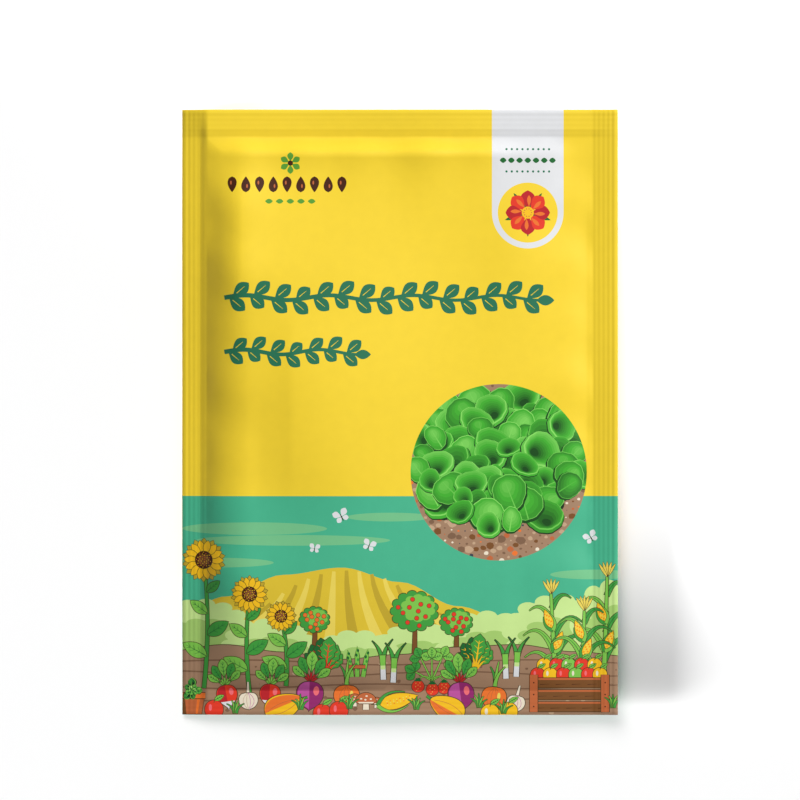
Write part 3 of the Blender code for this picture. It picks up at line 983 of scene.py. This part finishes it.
def draw_picture(pen):
    """The round picture: a head of cupped salad leaves on pebbly soil."""
    rng = pen.rng
    x, y, radius = PICTURE
    pen.dot(x, y, radius, "soil", 96)
    inner = Pen(pen.sheet, rng, window=PICTURE).moved((x, y))
    ground = spiral(560, radius)
    pebbles(inner, ground[::2], 1.0, ("soil_dark", "wood", "soil_dark", "clay", "soil_light"))
    pebbles(inner, ground[1::2], 0.65, ("soil_light", "cream", "soil_dark", "slate", "orange", "soil_light"))
    for x, y, across, up in ((-1.5, 3.0, 15.5, 12.0), (-8.0, -3.5, 9.0, 7.0), (6.5, -4.0, 8.0, 6.5)):
        inner.fill(scallop(x, y, across, up, 17, 0.1), "night")
    across, up, middle = 18.4, 13.8, 2.8
    spots = fitted(spiral(72, 1.0), across, up, 0, middle)
    for x, y in sorted(spots, key=lambda spot: rng.uniform(0, 6) - spot[1]):
        out = math.hypot(x / across, (y - middle) / up)
        at = (x + rng.uniform(-1.2, 1.2), y + rng.uniform(-1.2, 1.2))
        lean = -x * 3.2 + rng.uniform(-28, 28)
        tone = rng.choice((2, 3, 4, 4, 5, 6))
        if rng.random() < 0.22 + 0.4 * (out > 0.75):
            open_leaf(inner.moved(at, lean), rng.uniform(2.4, 3.7), tone)
        else:
            cupped_leaf(inner.moved(at, lean), rng.uniform(2.2, 4.0), tone)


def draw_field(pen):
    """The golden field, with rows that fan out towards its foot."""
    pen.fill(hill(GOLDEN_HILL), "field_gold")
    for i in range(-9, 10):
        top = -11 + i * 2.6
        height = -32.2 - 0.028 * (top + 11) ** 2
        arc = curve((-6 + i * 9.5, -60), (top + i * 0.6, -44), (top, height - 0.4))
        pen.band(arc, 3.4, 0.7, "field_light" if i % 2 else "field_dark")


def draw_soil(pen):
    """The bed's soil, with furrows and crumbs."""
    pen.lined(hill(BED_EDGE), "soil")
    for i, y in enumerate((-51.6, -54.0, -56.6, -59.4)):
        furrow = [(-47 + 94 * k / 40, y + 0.5 * math.sin(k / 4.0 + i * 1.7)) for k in range(41)]
        pen.band(furrow, 0.34, 0.26, "soil_dark")
    spots = [(pen.rng.uniform(-45, 45), pen.rng.uniform(-62, -51.5)) for _ in range(90)]
    pebbles(pen, spots, 0.6, ("soil_dark", "soil_light", "soil_dark"))


def draw_garden(pen):
    """The lower field: hazy sky, a golden field, hedges and trees, and a bed of vegetables."""
    for x, y, across, up in HAZE:
        pen.fill(oval(x, y, across, up, 40), "haze")
    draw_field(pen)
    for x, y, across, up, lobes in HEDGES:
        pen.fill(scallop(x, y, across, up, lobes), "meadow")
        pen.fill(scallop(x + 0.6, y - 1.6, across * 0.8, up * 0.62, lobes - 3), "meadow_dark")
    for x, y, height, fruit in TREES:
        fruit_tree(pen.moved((x, y)), height, fruit)
    draw_soil(pen)
    for draw, measures, places in BED:
        for x, y, *turn_and_size in places:
            draw(pen.moved((x, y), *turn_and_size), *measures)


def blank_sheet(edge, seed):
    """A yellow sheet, a little larger than the film, that is teal below an edge."""
    pen = Pen([], random.Random(seed))
    pen.fill(rectangle(SHEET_LEFT, -SHEET_TOP, SHEET_RIGHT, SHEET_TOP), "yellow")
    pen.fill(rectangle(SHEET_LEFT, -SHEET_TOP, SHEET_RIGHT, edge), "teal")
    return pen


def front_print():
    pen = blank_sheet(FIELD_EDGE, 11)
    draw_ornaments(pen)
    draw_garden(pen)
    draw_picture(pen)
    return pen.sheet


def back_print():
    """The back: the same two fields, and a pale panel with a sowing chart, growth stages and three signs."""
    pen = blank_sheet(-34, 5)
    pen.fill(rectangle(-34, -26, 34, 48), "white")
    rows = (("garland", (2, 3, 7, 8)), ("leaf_light", (3, 4, 8, 9)), ("gold", (4, 5, 6, 9, 10)))
    for month in range(12):
        for row, (tone, months) in enumerate(rows):
            x, y = -30 + month * 5.1, 36 - row * 6
            pen.fill(rectangle(x, y, x + 4.5, y + 4.6), tone if month in months else "meadow")
    for x, size, leaves in ((-20, 2.2, 8), (0, 4.2, 14), (20, 7.0, 14)):
        pen.band(curve((x - 8, -2), (x, -0.8), (x + 8, -2)), 0.5, 0.5, "soil_dark")
        rosette(pen.moved((x, 8)), size, leaves)
    for x in (-20, 0, 20):
        pen.dot(x, -15.5, 6.4, "meadow", 48)
    pen.moved((-20, -19.5)).fill(blade(8.4, 5.4, 0.34, 20), "teal")
    for i in range(12):
        pen.moved((0, -15.5), 30 * i).fill(fitted(blade(2.4, 0.9), up=2.9), "gold")
    pen.dot(0, -15.5, 2.5, "gold")
    for x, y, turn in ((18.4, -17.6, 24), (22.2, -17.2, -30), (20.2, -13.4, 6)):
        pen.moved((x, y), turn).fill(fitted(blade(3.6, 2.2, 0.4), up=-1.6), "brown")
    for i in range(16):
        tuft(pen.moved((-43 + 5.7 * i, -62)), 9 + 3 * math.sin(i), 2.6)
    return pen.sheet


# Turning a drawing into a film

# Grid lines to a rib, and how far the lines between the seals crowd towards them, from 0 to 1
RIB_STEPS = 6
CROWDING = 0.75
# The longest stretch of an outline that may run straight over the bulge, in millimetres
LONGEST_CUT = 1.6
# Points this near to each other are one point, and a point this near to the cut edge lies on it, both in
# millimetres
WELD = 1e-4
ON_EDGE = 1e-5


def stations(full, low_seal, high_seal, form, skip):
    """Grid lines along one side, in millimetres, thinned out by skip."""
    steps = form.rib_count * RIB_STEPS

    def seal_lines(seal):
        ribbed = seal - form.plain_edge
        lines = [0, form.plain_edge / 2] + [form.plain_edge + ribbed * i / steps for i in range(steps + 1)]
        return lines[::skip]

    low = [-full / 2 + step for step in seal_lines(low_seal)]
    high = [full / 2 - step for step in reversed(seal_lines(high_seal))]
    span = high[0] - low[-1]
    cells = round(span / form.cell)
    body = []
    for i in range(1, cells):
        even = i / cells
        crowded = (1 - math.cos(math.pi * even)) / 2
        body.append(low[-1] + span * (even + CROWDING * (crowded - even)))
    return [value / MM for value in low + body + high]


def lattice(form, skip=1):
    """The film's own grid: its points, and the lines of the seals as edges."""
    xs = stations(PACKET_WIDTH, form.side_seal, form.side_seal, form, skip)
    ys = stations(PACKET_LENGTH, form.bottom_seal, form.top_seal, form, skip)
    wide = len(xs)
    body_x = HALF_WIDTH_MM - form.side_seal / MM - 0.01
    body_low = -HALF_LENGTH_MM + form.bottom_seal / MM + 0.01
    body_high = HALF_LENGTH_MM - form.top_seal / MM - 0.01
    fine_columns = [i for i, x in enumerate(xs) if abs(x) > body_x]
    fine_rows = [j for j, y in enumerate(ys) if not body_low < y < body_high]
    edges = [(j * wide + i, (j + 1) * wide + i) for i in fine_columns for j in range(len(ys) - 1)]
    edges += [(j * wide + i, j * wide + i + 1) for j in fine_rows for i in range(wide - 1)]
    return [(x, y) for y in ys for x in xs], edges


def covered(spots, outline):
    """Which spots lie in an outline, by the number of times it winds round them."""
    x, y = spots.T
    turns = np.zeros(len(spots), dtype=int)
    for (ax, ay), (bx, by) in zip(outline, outline[1:] + outline[:1]):
        left = (bx - ax) * (y - ay) - (by - ay) * (x - ax)
        turns += (ay <= y) & (by > y) & (left > 0)
        turns -= (ay > y) & (by <= y) & (left < 0)
    return turns != 0


def paint(spots, drawing, names):
    """The ink on each spot, as a number in names: later shapes lie over earlier ones."""
    order = np.argsort(spots[:, 0])
    xs = spots[order, 0]
    inks = np.zeros(len(spots), dtype=int)
    for outline, ink_name, window in drawing:
        low, high = np.min(outline, axis=0), np.max(outline, axis=0)
        near = order[np.searchsorted(xs, low[0]) : np.searchsorted(xs, high[0])]
        near = near[(spots[near, 1] > low[1]) & (spots[near, 1] < high[1])]
        if window:
            near = near[np.hypot(spots[near, 0] - window[0], spots[near, 1] - window[1]) < window[2]]
        inks[near[covered(spots[near], outline)]] = names.index(ink_name)
    return inks


def triangulate(points, edges):
    found = delaunay_2d_cdt([Vector(point) for point in points], edges, [], 0, WELD, False)
    flat = np.array([(v.x, v.y) for v in found[0]])
    return flat, np.array(found[2])


def divided(outline):
    """The outline with points added on its long edges, so that they follow the bulge."""
    points = []
    for a, b in zip(outline, outline[1:] + outline[:1]):
        parts = max(1, math.ceil(math.dist(a, b) / LONGEST_CUT))
        points += [(a[0] + (b[0] - a[0]) * i / parts, a[1] + (b[1] - a[1]) * i / parts) for i in range(parts)]
    return points


def shown_edges(drawing, names):
    """Cuts the outlines where they cross, and keeps the cuts that show, between two inks."""
    points, edges = [], []
    for shape, _, _ in drawing:
        outline = divided(shape)
        first, count = len(points), len(outline)
        points += outline
        edges += [(first + i, first + (i + 1) % count) for i in range(count)]
    flat, triangles = triangulate(points, edges)
    inks = paint(flat[triangles].mean(axis=1), drawing, names)
    sides = np.sort(np.vstack([triangles[:, [0, 1]], triangles[:, [1, 2]], triangles[:, [2, 0]]]), axis=1)
    owners = np.tile(np.arange(len(triangles)), 3)
    order = np.lexsort((sides[:, 1], sides[:, 0]))
    sides, owners = sides[order], owners[order]
    shared = np.all(sides[1:] == sides[:-1], axis=1)
    shown = sides[:-1][shared & (inks[owners[1:]] != inks[owners[:-1]])]
    used, ends = np.unique(shown, return_inverse=True)
    return flat[used], ends.reshape(-1, 2)


def inside_sheet(flat, triangles):
    middles = np.abs(flat[triangles].mean(axis=1))
    return triangles[(middles[:, 0] < HALF_WIDTH_MM) & (middles[:, 1] < HALF_LENGTH_MM)]


def tidy(flat, triangles):
    """Drops the points that no triangle uses."""
    used, corners = np.unique(triangles, return_inverse=True)
    return flat[used], corners.reshape(-1, 3)


def printed_sheet(drawing, names, form):
    """The printed face, flat: points, triangles, and the ink of each."""
    points, edges = lattice(form)
    cut_points, cut_edges = shown_edges(drawing, names)
    edges += (cut_edges + len(points)).tolist()
    flat, triangles = triangulate(points + cut_points.tolist(), edges)
    flat, triangles = tidy(flat, inside_sheet(flat, triangles))
    return flat, triangles, paint(flat[triangles].mean(axis=1), drawing, names)


def slopes(height, x, y, form):
    """Unit normals of a height field, with +Z up."""
    step = 0.01 * MM
    inward_x, inward_y = PACKET_WIDTH / 2 - step, PACKET_LENGTH / 2 - step
    cx, cy = np.clip(x, -inward_x, inward_x), np.clip(y, -inward_y, inward_y)
    run = (height(cx + step, cy, form) - height(cx - step, cy, form)) / (2 * step)
    climb = (height(cx, cy + step, form) - height(cx, cy - step, form)) / (2 * step)
    normals = np.stack([-run, -climb, np.ones_like(run)], axis=1)
    return normals / np.linalg.norm(normals, axis=1)[:, None]


def rim_order(flat):
    """The points on the packet's edge, in order round it."""
    gaps = np.minimum(HALF_WIDTH_MM - np.abs(flat[:, 0]), HALF_LENGTH_MM - np.abs(flat[:, 1]))

    def around(i):
        x, y = flat[i]
        if HALF_LENGTH_MM + y < ON_EDGE:
            return (0, x)
        if HALF_WIDTH_MM - x < ON_EDGE:
            return (1, y)
        if HALF_LENGTH_MM - y < ON_EDGE:
            return (2, -x)
        return (3, -y)

    return sorted(np.flatnonzero(gaps < ON_EDGE).tolist(), key=around)


def film_piece(name, drawing, outside, inside, sign, scene):
    """A closed film: printed outer face, plain inner face, and the cut edge between them.

    The outer face looks up where sign is 1, and down where it is -1.
    """
    form = scene.packet_film
    names = ["yellow", "foil"] + sorted({ink_name for _, ink_name, _ in drawing} - {"yellow"})
    flat, outer, painted = printed_sheet(drawing, names, form)
    ring = rim_order(flat)
    points, edges = lattice(form, 2)
    lining, inner = triangulate(points + [tuple(flat[i]) for i in ring], edges)
    lining, inner = tidy(lining, inside_sheet(lining, inner))
    lining_ring = rim_order(lining)
    face, back = flat * MM, lining * MM
    face_z = outside(face[:, 0], face[:, 1], form)
    back_z = inside(back[:, 0], back[:, 1], form)
    vertices = np.vstack([np.column_stack([face, face_z]), np.column_stack([back, back_z])])
    rim = []
    for a, b, c, d in zip(ring, ring[1:] + ring[:1], lining_ring[1:] + lining_ring[:1], lining_ring):
        rim.append([a, b, c + len(flat), d + len(flat)][::-sign])
    faces = outer[:, ::sign].tolist() + (inner[:, ::-sign] + len(flat)).tolist() + rim
    mesh = bpy.data.meshes.new(name)
    mesh.from_pydata(vertices.tolist(), [], faces)
    for ink_name in names:
        mesh.materials.append(ink_material(ink_name, ink_colour(scene.packet_inks, ink_name)))
    mesh.polygons.foreach_set("material_index", painted.tolist() + [1] * len(inner) + [0] * len(rim))
    mesh.polygons.foreach_set("use_smooth", [True] * len(faces))
    mesh.update()
    normals = np.vstack([slopes(outside, *face.T, form) * sign, slopes(inside, *back.T, form) * -sign])
    corners = np.empty(len(mesh.loops), dtype=int)
    mesh.loops.foreach_get("vertex_index", corners)
    corner_normals = normals[corners]
    walls = mesh.polygons[len(outer) + len(inner) :]
    corner_normals[-4 * len(walls) :] = np.repeat([wall.normal for wall in walls], 4, axis=0)
    mesh.normals_split_custom_set(corner_normals.tolist())
    lay_out(mesh, len(outer), len(inner))
    piece = bpy.data.objects.new(name, mesh)
    scene.collection.objects.link(piece)
    return piece


# The map for baking: margin and scale of the outer face, place and scale of the inner face, and, for the
# strips of the cut edge, their foot, spacing, length and height for each metre
OUTER_MARGIN, OUTER_SCALE = 0.002, 0.995
SMALL_LEFT, INNER_FOOT, INNER_SCALE = 0.735, 0.01, 0.34
STRIP_FOOT, STRIP_SPACING, STRIP_LENGTH, STRIP_HEIGHT = 0.42, 0.03, 0.25, 1.5


def lay_out(mesh, outer_count, inner_count):
    """A flat map for baking: the outer face large, the inner face small beside it, the cut edge in strips."""
    layer = mesh.uv_layers.new(name="OFBake")
    scale = 1 / PACKET_LENGTH
    for polygon in mesh.polygons:
        for loop in polygon.loop_indices:
            co = mesh.vertices[mesh.loops[loop].vertex_index].co
            u, v = (co.x + PACKET_WIDTH / 2) * scale, (co.y + PACKET_LENGTH / 2) * scale
            if polygon.index < outer_count:
                place = (OUTER_MARGIN + u * OUTER_SCALE, OUTER_MARGIN + v * OUTER_SCALE)
            elif polygon.index < outer_count + inner_count:
                place = (SMALL_LEFT + u * INNER_SCALE, INNER_FOOT + v * INNER_SCALE)
            else:
                side = round(math.degrees(math.atan2(polygon.normal.y, polygon.normal.x)) / 90) % 4
                along = SMALL_LEFT + (u if side % 2 else v) * STRIP_LENGTH
                place = (along, STRIP_FOOT + side * STRIP_SPACING + (co.z - CAD_LOW.z) * STRIP_HEIGHT)
            layer.data[loop].uv = place


# Materials


# How the film's gloss varies, and how far an ink drifts from its colour, up and down
GLOSS_LOW, GLOSS_HIGH = 0.46, 0.50
INK_DRIFT = 0.015
# Part of a noise's range that is stretched over the whole
NOISE_LOW, NOISE_HIGH = 0.3, 0.7


def add_node(tree, kind, inputs=()):
    """A new shader node, with its inputs set."""
    node = tree.nodes.new("ShaderNode" + kind)
    for name, value in dict(inputs).items():
        node.inputs[name].default_value = value
    return node


def new_material(name, inputs):
    """A material, its node tree and its shader, with the shader's inputs set."""
    material = bpy.data.materials.new(name)
    material.use_nodes = True
    shader = material.node_tree.nodes["Principled BSDF"]
    for socket, value in inputs.items():
        shader.inputs[socket].default_value = value
    return material, material.node_tree, shader


def add_ramp(tree, low, high, low_at=0.0, high_at=1.0):
    """A ramp from one colour to another."""
    ramp = add_node(tree, "ValToRGB")
    for element, colour, place in zip(ramp.color_ramp.elements, (low, high), (low_at, high_at)):
        element.position = place
        element.color = (*[min(1, c) for c in colour], 1)
    return ramp


def laminate_group():
    """Surface shared by all inks: the slight unevenness of the film laminated over the print."""
    found = bpy.data.node_groups.get("Laminate")
    if found:
        return found
    group = bpy.data.node_groups.new("Laminate", "ShaderNodeTree")
    for name, kind in (("Roughness", "Float"), ("Normal", "Vector"), ("Mottle", "Float")):
        group.interface.new_socket(name, in_out="OUTPUT", socket_type="NodeSocket" + kind)
    out = group.nodes.new("NodeGroupOutput")
    place = add_node(group, "TexCoord")
    sheen = add_node(group, "TexNoise", {"Scale": 160, "Detail": 4})
    gloss = add_node(
        group,
        "MapRange",
        {"From Min": NOISE_LOW, "From Max": NOISE_HIGH, "To Min": GLOSS_LOW, "To Max": GLOSS_HIGH},
    )
    grain = add_node(group, "TexNoise", {"Scale": 1500, "Detail": 3})
    bump = add_node(group, "Bump", {"Strength": 0.12, "Distance": 0.00004})
    mottle = add_node(group, "TexNoise", {"Scale": 420, "Detail": 5})
    for texture in (sheen, grain, mottle):
        group.links.new(place.outputs["Object"], texture.inputs["Vector"])
    group.links.new(sheen.outputs["Fac"], gloss.inputs["Value"])
    group.links.new(gloss.outputs["Result"], out.inputs["Roughness"])
    group.links.new(grain.outputs["Fac"], bump.inputs["Height"])
    group.links.new(bump.outputs["Normal"], out.inputs["Normal"])
    group.links.new(mottle.outputs["Fac"], out.inputs["Mottle"])
    return group


def ink_colour(inks, name):
    """An ink's colour; those named salad go, by their number, from the lit leaf to its deep throat."""
    start, _, tone = name.partition("salad_")
    if start:
        return getattr(inks, name)
    share = 2 * int(tone) / (SALAD_STEPS - 1)
    ends = (inks.salad_lit, inks.salad_middle) if share < 1 else (inks.salad_middle, inks.salad_deep)
    return [a + (b - a) * (share % 1 if share < 2 else 1) for a, b in zip(*ends)]


def ink_material(name, colour):
    """One ink under the laminate: its colour drifts a little, as print does."""
    found = bpy.data.materials.get("Ink " + name)
    if found:
        return found
    material, tree, shader = new_material("Ink " + name, {"IOR": 1.46, "Specular IOR Level": 0.35})
    laminate = add_node(tree, "Group")
    laminate.node_tree = laminate_group()
    low, high = ([c * drift for c in colour] for drift in (1 - INK_DRIFT, 1 + INK_DRIFT))
    ramp = add_ramp(tree, low, high, NOISE_LOW, NOISE_HIGH)
    tree.links.new(laminate.outputs["Mottle"], ramp.inputs["Fac"])
    tree.links.new(ramp.outputs["Color"], shader.inputs["Base Color"])
    for socket in ("Roughness", "Normal"):
        tree.links.new(laminate.outputs[socket], shader.inputs[socket])
    return material


def seed_material(colour):
    material, tree, shader = new_material("Seed skin", {"Roughness": 0.7})
    place = add_node(tree, "TexCoord")
    speckle = add_node(tree, "TexNoise", {"Scale": 900, "Detail": 6})
    ramp = add_ramp(tree, [c * 0.45 for c in colour], [c * 1.4 for c in colour])
    bump = add_node(tree, "Bump", {"Strength": 0.4, "Distance": 0.0001})
    tree.links.new(place.outputs["Object"], speckle.inputs["Vector"])
    tree.links.new(speckle.outputs["Fac"], ramp.inputs["Fac"])
    tree.links.new(ramp.outputs["Color"], shader.inputs["Base Color"])
    tree.links.new(speckle.outputs["Fac"], bump.inputs["Height"])
    tree.links.new(bump.outputs["Normal"], shader.inputs["Normal"])
    return material


def floor_material(colour):
    inputs = {"Base Color": (*colour, 1), "Roughness": 0.9, "Specular IOR Level": 0.1}
    return new_material("Studio floor", inputs)[0]


# Operators


class SEEDPACKET_OT_front_film(bpy.types.Operator):
    """Makes the printed front film"""

    bl_idname = "seedpacket.front_film"
    bl_label = "Front film"

    def execute(self, context):
        piece = film_piece("front_film", front_print(), front_outside, front_inside, 1, context.scene)
        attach(piece, "root")
        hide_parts("front_panel")
        return {"FINISHED"}


class SEEDPACKET_OT_back_film(bpy.types.Operator):
    """Makes the back film that the packet lies on"""

    bl_idname = "seedpacket.back_film"
    bl_label = "Back film"

    def execute(self, context):
        piece = film_piece("back_film", back_print(), back_outside, back_inside, -1, context.scene)
        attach(piece, "root")
        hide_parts("back_panel")
        return {"FINISHED"}


# How far a seed leans at most, in radians, and how many seed depths of the heap's height aren't its core
SEED_LEAN = 0.45
SEED_SPARE = 1.6
# Depth and half width of a seed's groove, and how much narrower its tip is, as shares of the seed
GROOVE_DEPTH, GROOVE_REACH = 0.12, 0.12
SEED_TAPER = 0.25


class SEEDPACKET_OT_seeds(bpy.types.Operator):
    """Makes the loose seeds inside"""

    bl_idname = "seedpacket.seeds"
    bl_label = "Seeds"

    def execute(self, context):
        form = context.scene.packet_seeds
        low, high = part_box("seeds")
        middle = (low + high) / 2
        reach = ((high.x - low.x - form.length) / 2, (high.y - low.y - form.length) / 2)
        core = (high.z - low.z - form.depth * SEED_SPARE) / 2
        rng = random.Random(7)
        heap = bmesh.new()
        for count, side in ((form.on_top, 1), (form.underneath, -1), (form.underneath, 0)):
            for i in range(count):
                out = math.sqrt((i + 0.5) / count)
                turn = i * GOLDEN_ANGLE
                place = Vector((reach[0] * out * math.cos(turn), reach[1] * out * math.sin(turn), 0))
                place.z = side * core * math.sqrt(1 - out**2)
                leans = (rng.uniform(-SEED_LEAN, SEED_LEAN), rng.uniform(-SEED_LEAN, SEED_LEAN))
                tilt = Euler((*leans, rng.uniform(0, math.tau)))
                add_seed(heap, middle + place, tilt, form)
        mesh = bpy.data.meshes.new("seed_heap")
        heap.to_mesh(mesh)
        heap.free()
        mesh.materials.append(seed_material(form.colour))
        mesh.shade_smooth()
        piece = bpy.data.objects.new("seed_heap", mesh)
        context.scene.collection.objects.link(piece)
        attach(piece, "root")
        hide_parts("seeds")
        return {"FINISHED"}


def add_seed(heap, place, tilt, form):
    """One lens-shaped seed with a groove down one face."""
    grain = bmesh.ops.create_icosphere(heap, subdivisions=2, radius=0.5)["verts"]
    for vertex in grain:
        co = vertex.co
        if co.z > 0:
            co.z -= GROOVE_DEPTH * math.exp(-((co.y / GROOVE_REACH) ** 2))
        co.y *= 1 - SEED_TAPER * co.x
    bmesh.ops.scale(heap, vec=(form.length, form.width, form.depth), verts=grain)
    bmesh.ops.transform(heap, matrix=Matrix.Translation(place) @ tilt.to_matrix().to_4x4(), verts=grain)


# Lamps: place, or direction for the two suns, size or spread in degrees, and for a spot its target and reach
KEY_PLACE, KEY_SIZE = (1.80, 1.41, 1.92), 1.35
LOW_PLACE, LOW_SPREAD = (-0.952, -0.250, 0.176), 16
HIGH_PLACE, HIGH_SPREAD = (-0.35, 0.94, 1.00), 40
EDGE_PLACE, EDGE_TARGET, EDGE_REACH = (0.30, 0.30, 0.80), (0.085, 0.0600, 0), 0.1105
TOP_PLACE, TOP_TARGET, TOP_REACH = (0.00, 0.50, 0.80), (0.000, 0.1250, 0), 0.0850
SPOT_BLEND, SPOT_SIZE = 0.55, 0.02


class SEEDPACKET_OT_studio(bpy.types.Operator):
    """Sets up the floor, the lamps and the camera"""

    bl_idname = "seedpacket.studio"
    bl_label = "Studio"

    def execute(self, context):
        scene = context.scene
        form, film = scene.packet_studio, scene.packet_film
        scene.view_settings.view_transform = "Standard"
        floor_mesh = bpy.data.meshes.new("floor")
        disc = bmesh.new()
        bmesh.ops.create_circle(disc, cap_ends=True, segments=96, radius=form.floor_radius)
        disc.to_mesh(floor_mesh)
        disc.free()
        floor_mesh.materials.append(floor_material(form.floor_colour))
        floor = bpy.data.objects.new("floor", floor_mesh)
        scene.collection.objects.link(floor)
        pieces = [thing for thing in scene.objects if thing.type == "MESH" and thing != floor]
        key = self.add_lamp(scene, "key", "AREA", KEY_PLACE, (0, 0, 0), form.key_power)
        key.data.size = KEY_SIZE
        self.link_light(key, pieces)
        for name, place, degrees, power in (
            ("low_light", LOW_PLACE, LOW_SPREAD, form.low_light),
            ("high_light", HIGH_PLACE, HIGH_SPREAD, form.high_light),
        ):
            sun = self.add_lamp(scene, name, "SUN", place, (0, 0, 0), power)
            sun.data.angle = math.radians(degrees)
            self.link_light(sun, [floor])
        for name, place, target, reach, power in (
            ("edge_light", EDGE_PLACE, EDGE_TARGET, EDGE_REACH, form.edge_power),
            ("top_light", TOP_PLACE, TOP_TARGET, TOP_REACH, form.top_power),
        ):
            spot = self.add_lamp(scene, name, "SPOT", place, target, power)
            spot.data.spot_size = 2 * math.atan(reach / math.dist(place, target))
            spot.data.spot_blend = SPOT_BLEND
            spot.data.shadow_soft_size = SPOT_SIZE
            self.link_light(spot, [floor])
        world = bpy.data.worlds.new("studio")
        world.use_nodes = True
        background = world.node_tree.nodes["Background"]
        background.inputs["Color"].default_value = (1, 1, 1, 1)
        background.inputs["Strength"].default_value = form.sky_light
        scene.world = world
        self.add_camera(scene, form, film)
        return {"FINISHED"}

    def add_lamp(self, scene, name, kind, place, target, power):
        data = bpy.data.lights.new(name, kind)
        data.energy = power
        lamp = bpy.data.objects.new(name, data)
        lamp.location = place
        lamp.rotation_euler = (Vector(target) - Vector(place)).to_track_quat("-Z", "Y").to_euler()
        scene.collection.objects.link(lamp)
        return lamp

    def link_light(self, lamp, things):
        """Lets the lamp light these things alone."""
        lit = bpy.data.collections.new(lamp.name + "_lights")
        for thing in things:
            lit.objects.link(thing)
        lamp.light_linking.receiver_collection = lit

    def add_camera(self, scene, form, film):
        """Straight above, far off, with the packet where the photograph has it."""
        pixel = PACKET_WIDTH / (OUTLINE_RIGHT - OUTLINE_LEFT)
        across = (PICTURE_SIDE - OUTLINE_LEFT - OUTLINE_RIGHT) / 2 * pixel
        up = (OUTLINE_TOP + OUTLINE_BOTTOM - PICTURE_SIDE) / 2 * pixel
        data = bpy.data.cameras.new("camera")
        data.lens = data.sensor_width * form.camera_height / (PICTURE_SIDE * pixel)
        data.clip_start = 0.05
        camera = bpy.data.objects.new("camera", data)
        camera.location = (across, up, film.seam_height + form.camera_height)
        scene.collection.objects.link(camera)
        scene.camera = camera


class SEEDPACKET_PT_panel(bpy.types.Panel):
    """Lists the packet's settings and its makers"""

    bl_idname = "SEEDPACKET_PT_panel"
    bl_label = "Seed packet"
    bl_space_type = "VIEW_3D"
    bl_region_type = "UI"
    bl_category = "Seed packet"

    def draw(self, context):
        scene = context.scene
        for group in (scene.packet_film, scene.packet_seeds, scene.packet_inks, scene.packet_studio):
            box = self.layout.box()
            box.label(text=group.bl_rna.name)
            for name in group.__annotations__:
                box.prop(group, name)
        for operator in OPERATORS:
            self.layout.operator(operator.bl_idname)


GROUPS = {
    "packet_film": FilmForm,
    "packet_seeds": SeedForm,
    "packet_inks": InkColours,
    "packet_studio": StudioForm,
}
OPERATORS = (SEEDPACKET_OT_front_film, SEEDPACKET_OT_back_film, SEEDPACKET_OT_seeds, SEEDPACKET_OT_studio)


def register():
    for cls in (*GROUPS.values(), *OPERATORS, SEEDPACKET_PT_panel):
        bpy.utils.register_class(cls)
    for name, group in GROUPS.items():
        setattr(bpy.types.Scene, name, PointerProperty(type=group))


def unregister():
    for name in GROUPS:
        delattr(bpy.types.Scene, name)
    for cls in (SEEDPACKET_PT_panel, *reversed(OPERATORS), *reversed(GROUPS.values())):
        bpy.utils.unregister_class(cls)


def main():
    register()
    bpy.ops.seedpacket.front_film()
    bpy.ops.seedpacket.back_film()
    bpy.ops.seedpacket.seeds()
    bpy.ops.seedpacket.studio()


if __name__ == "__main__":
    main()
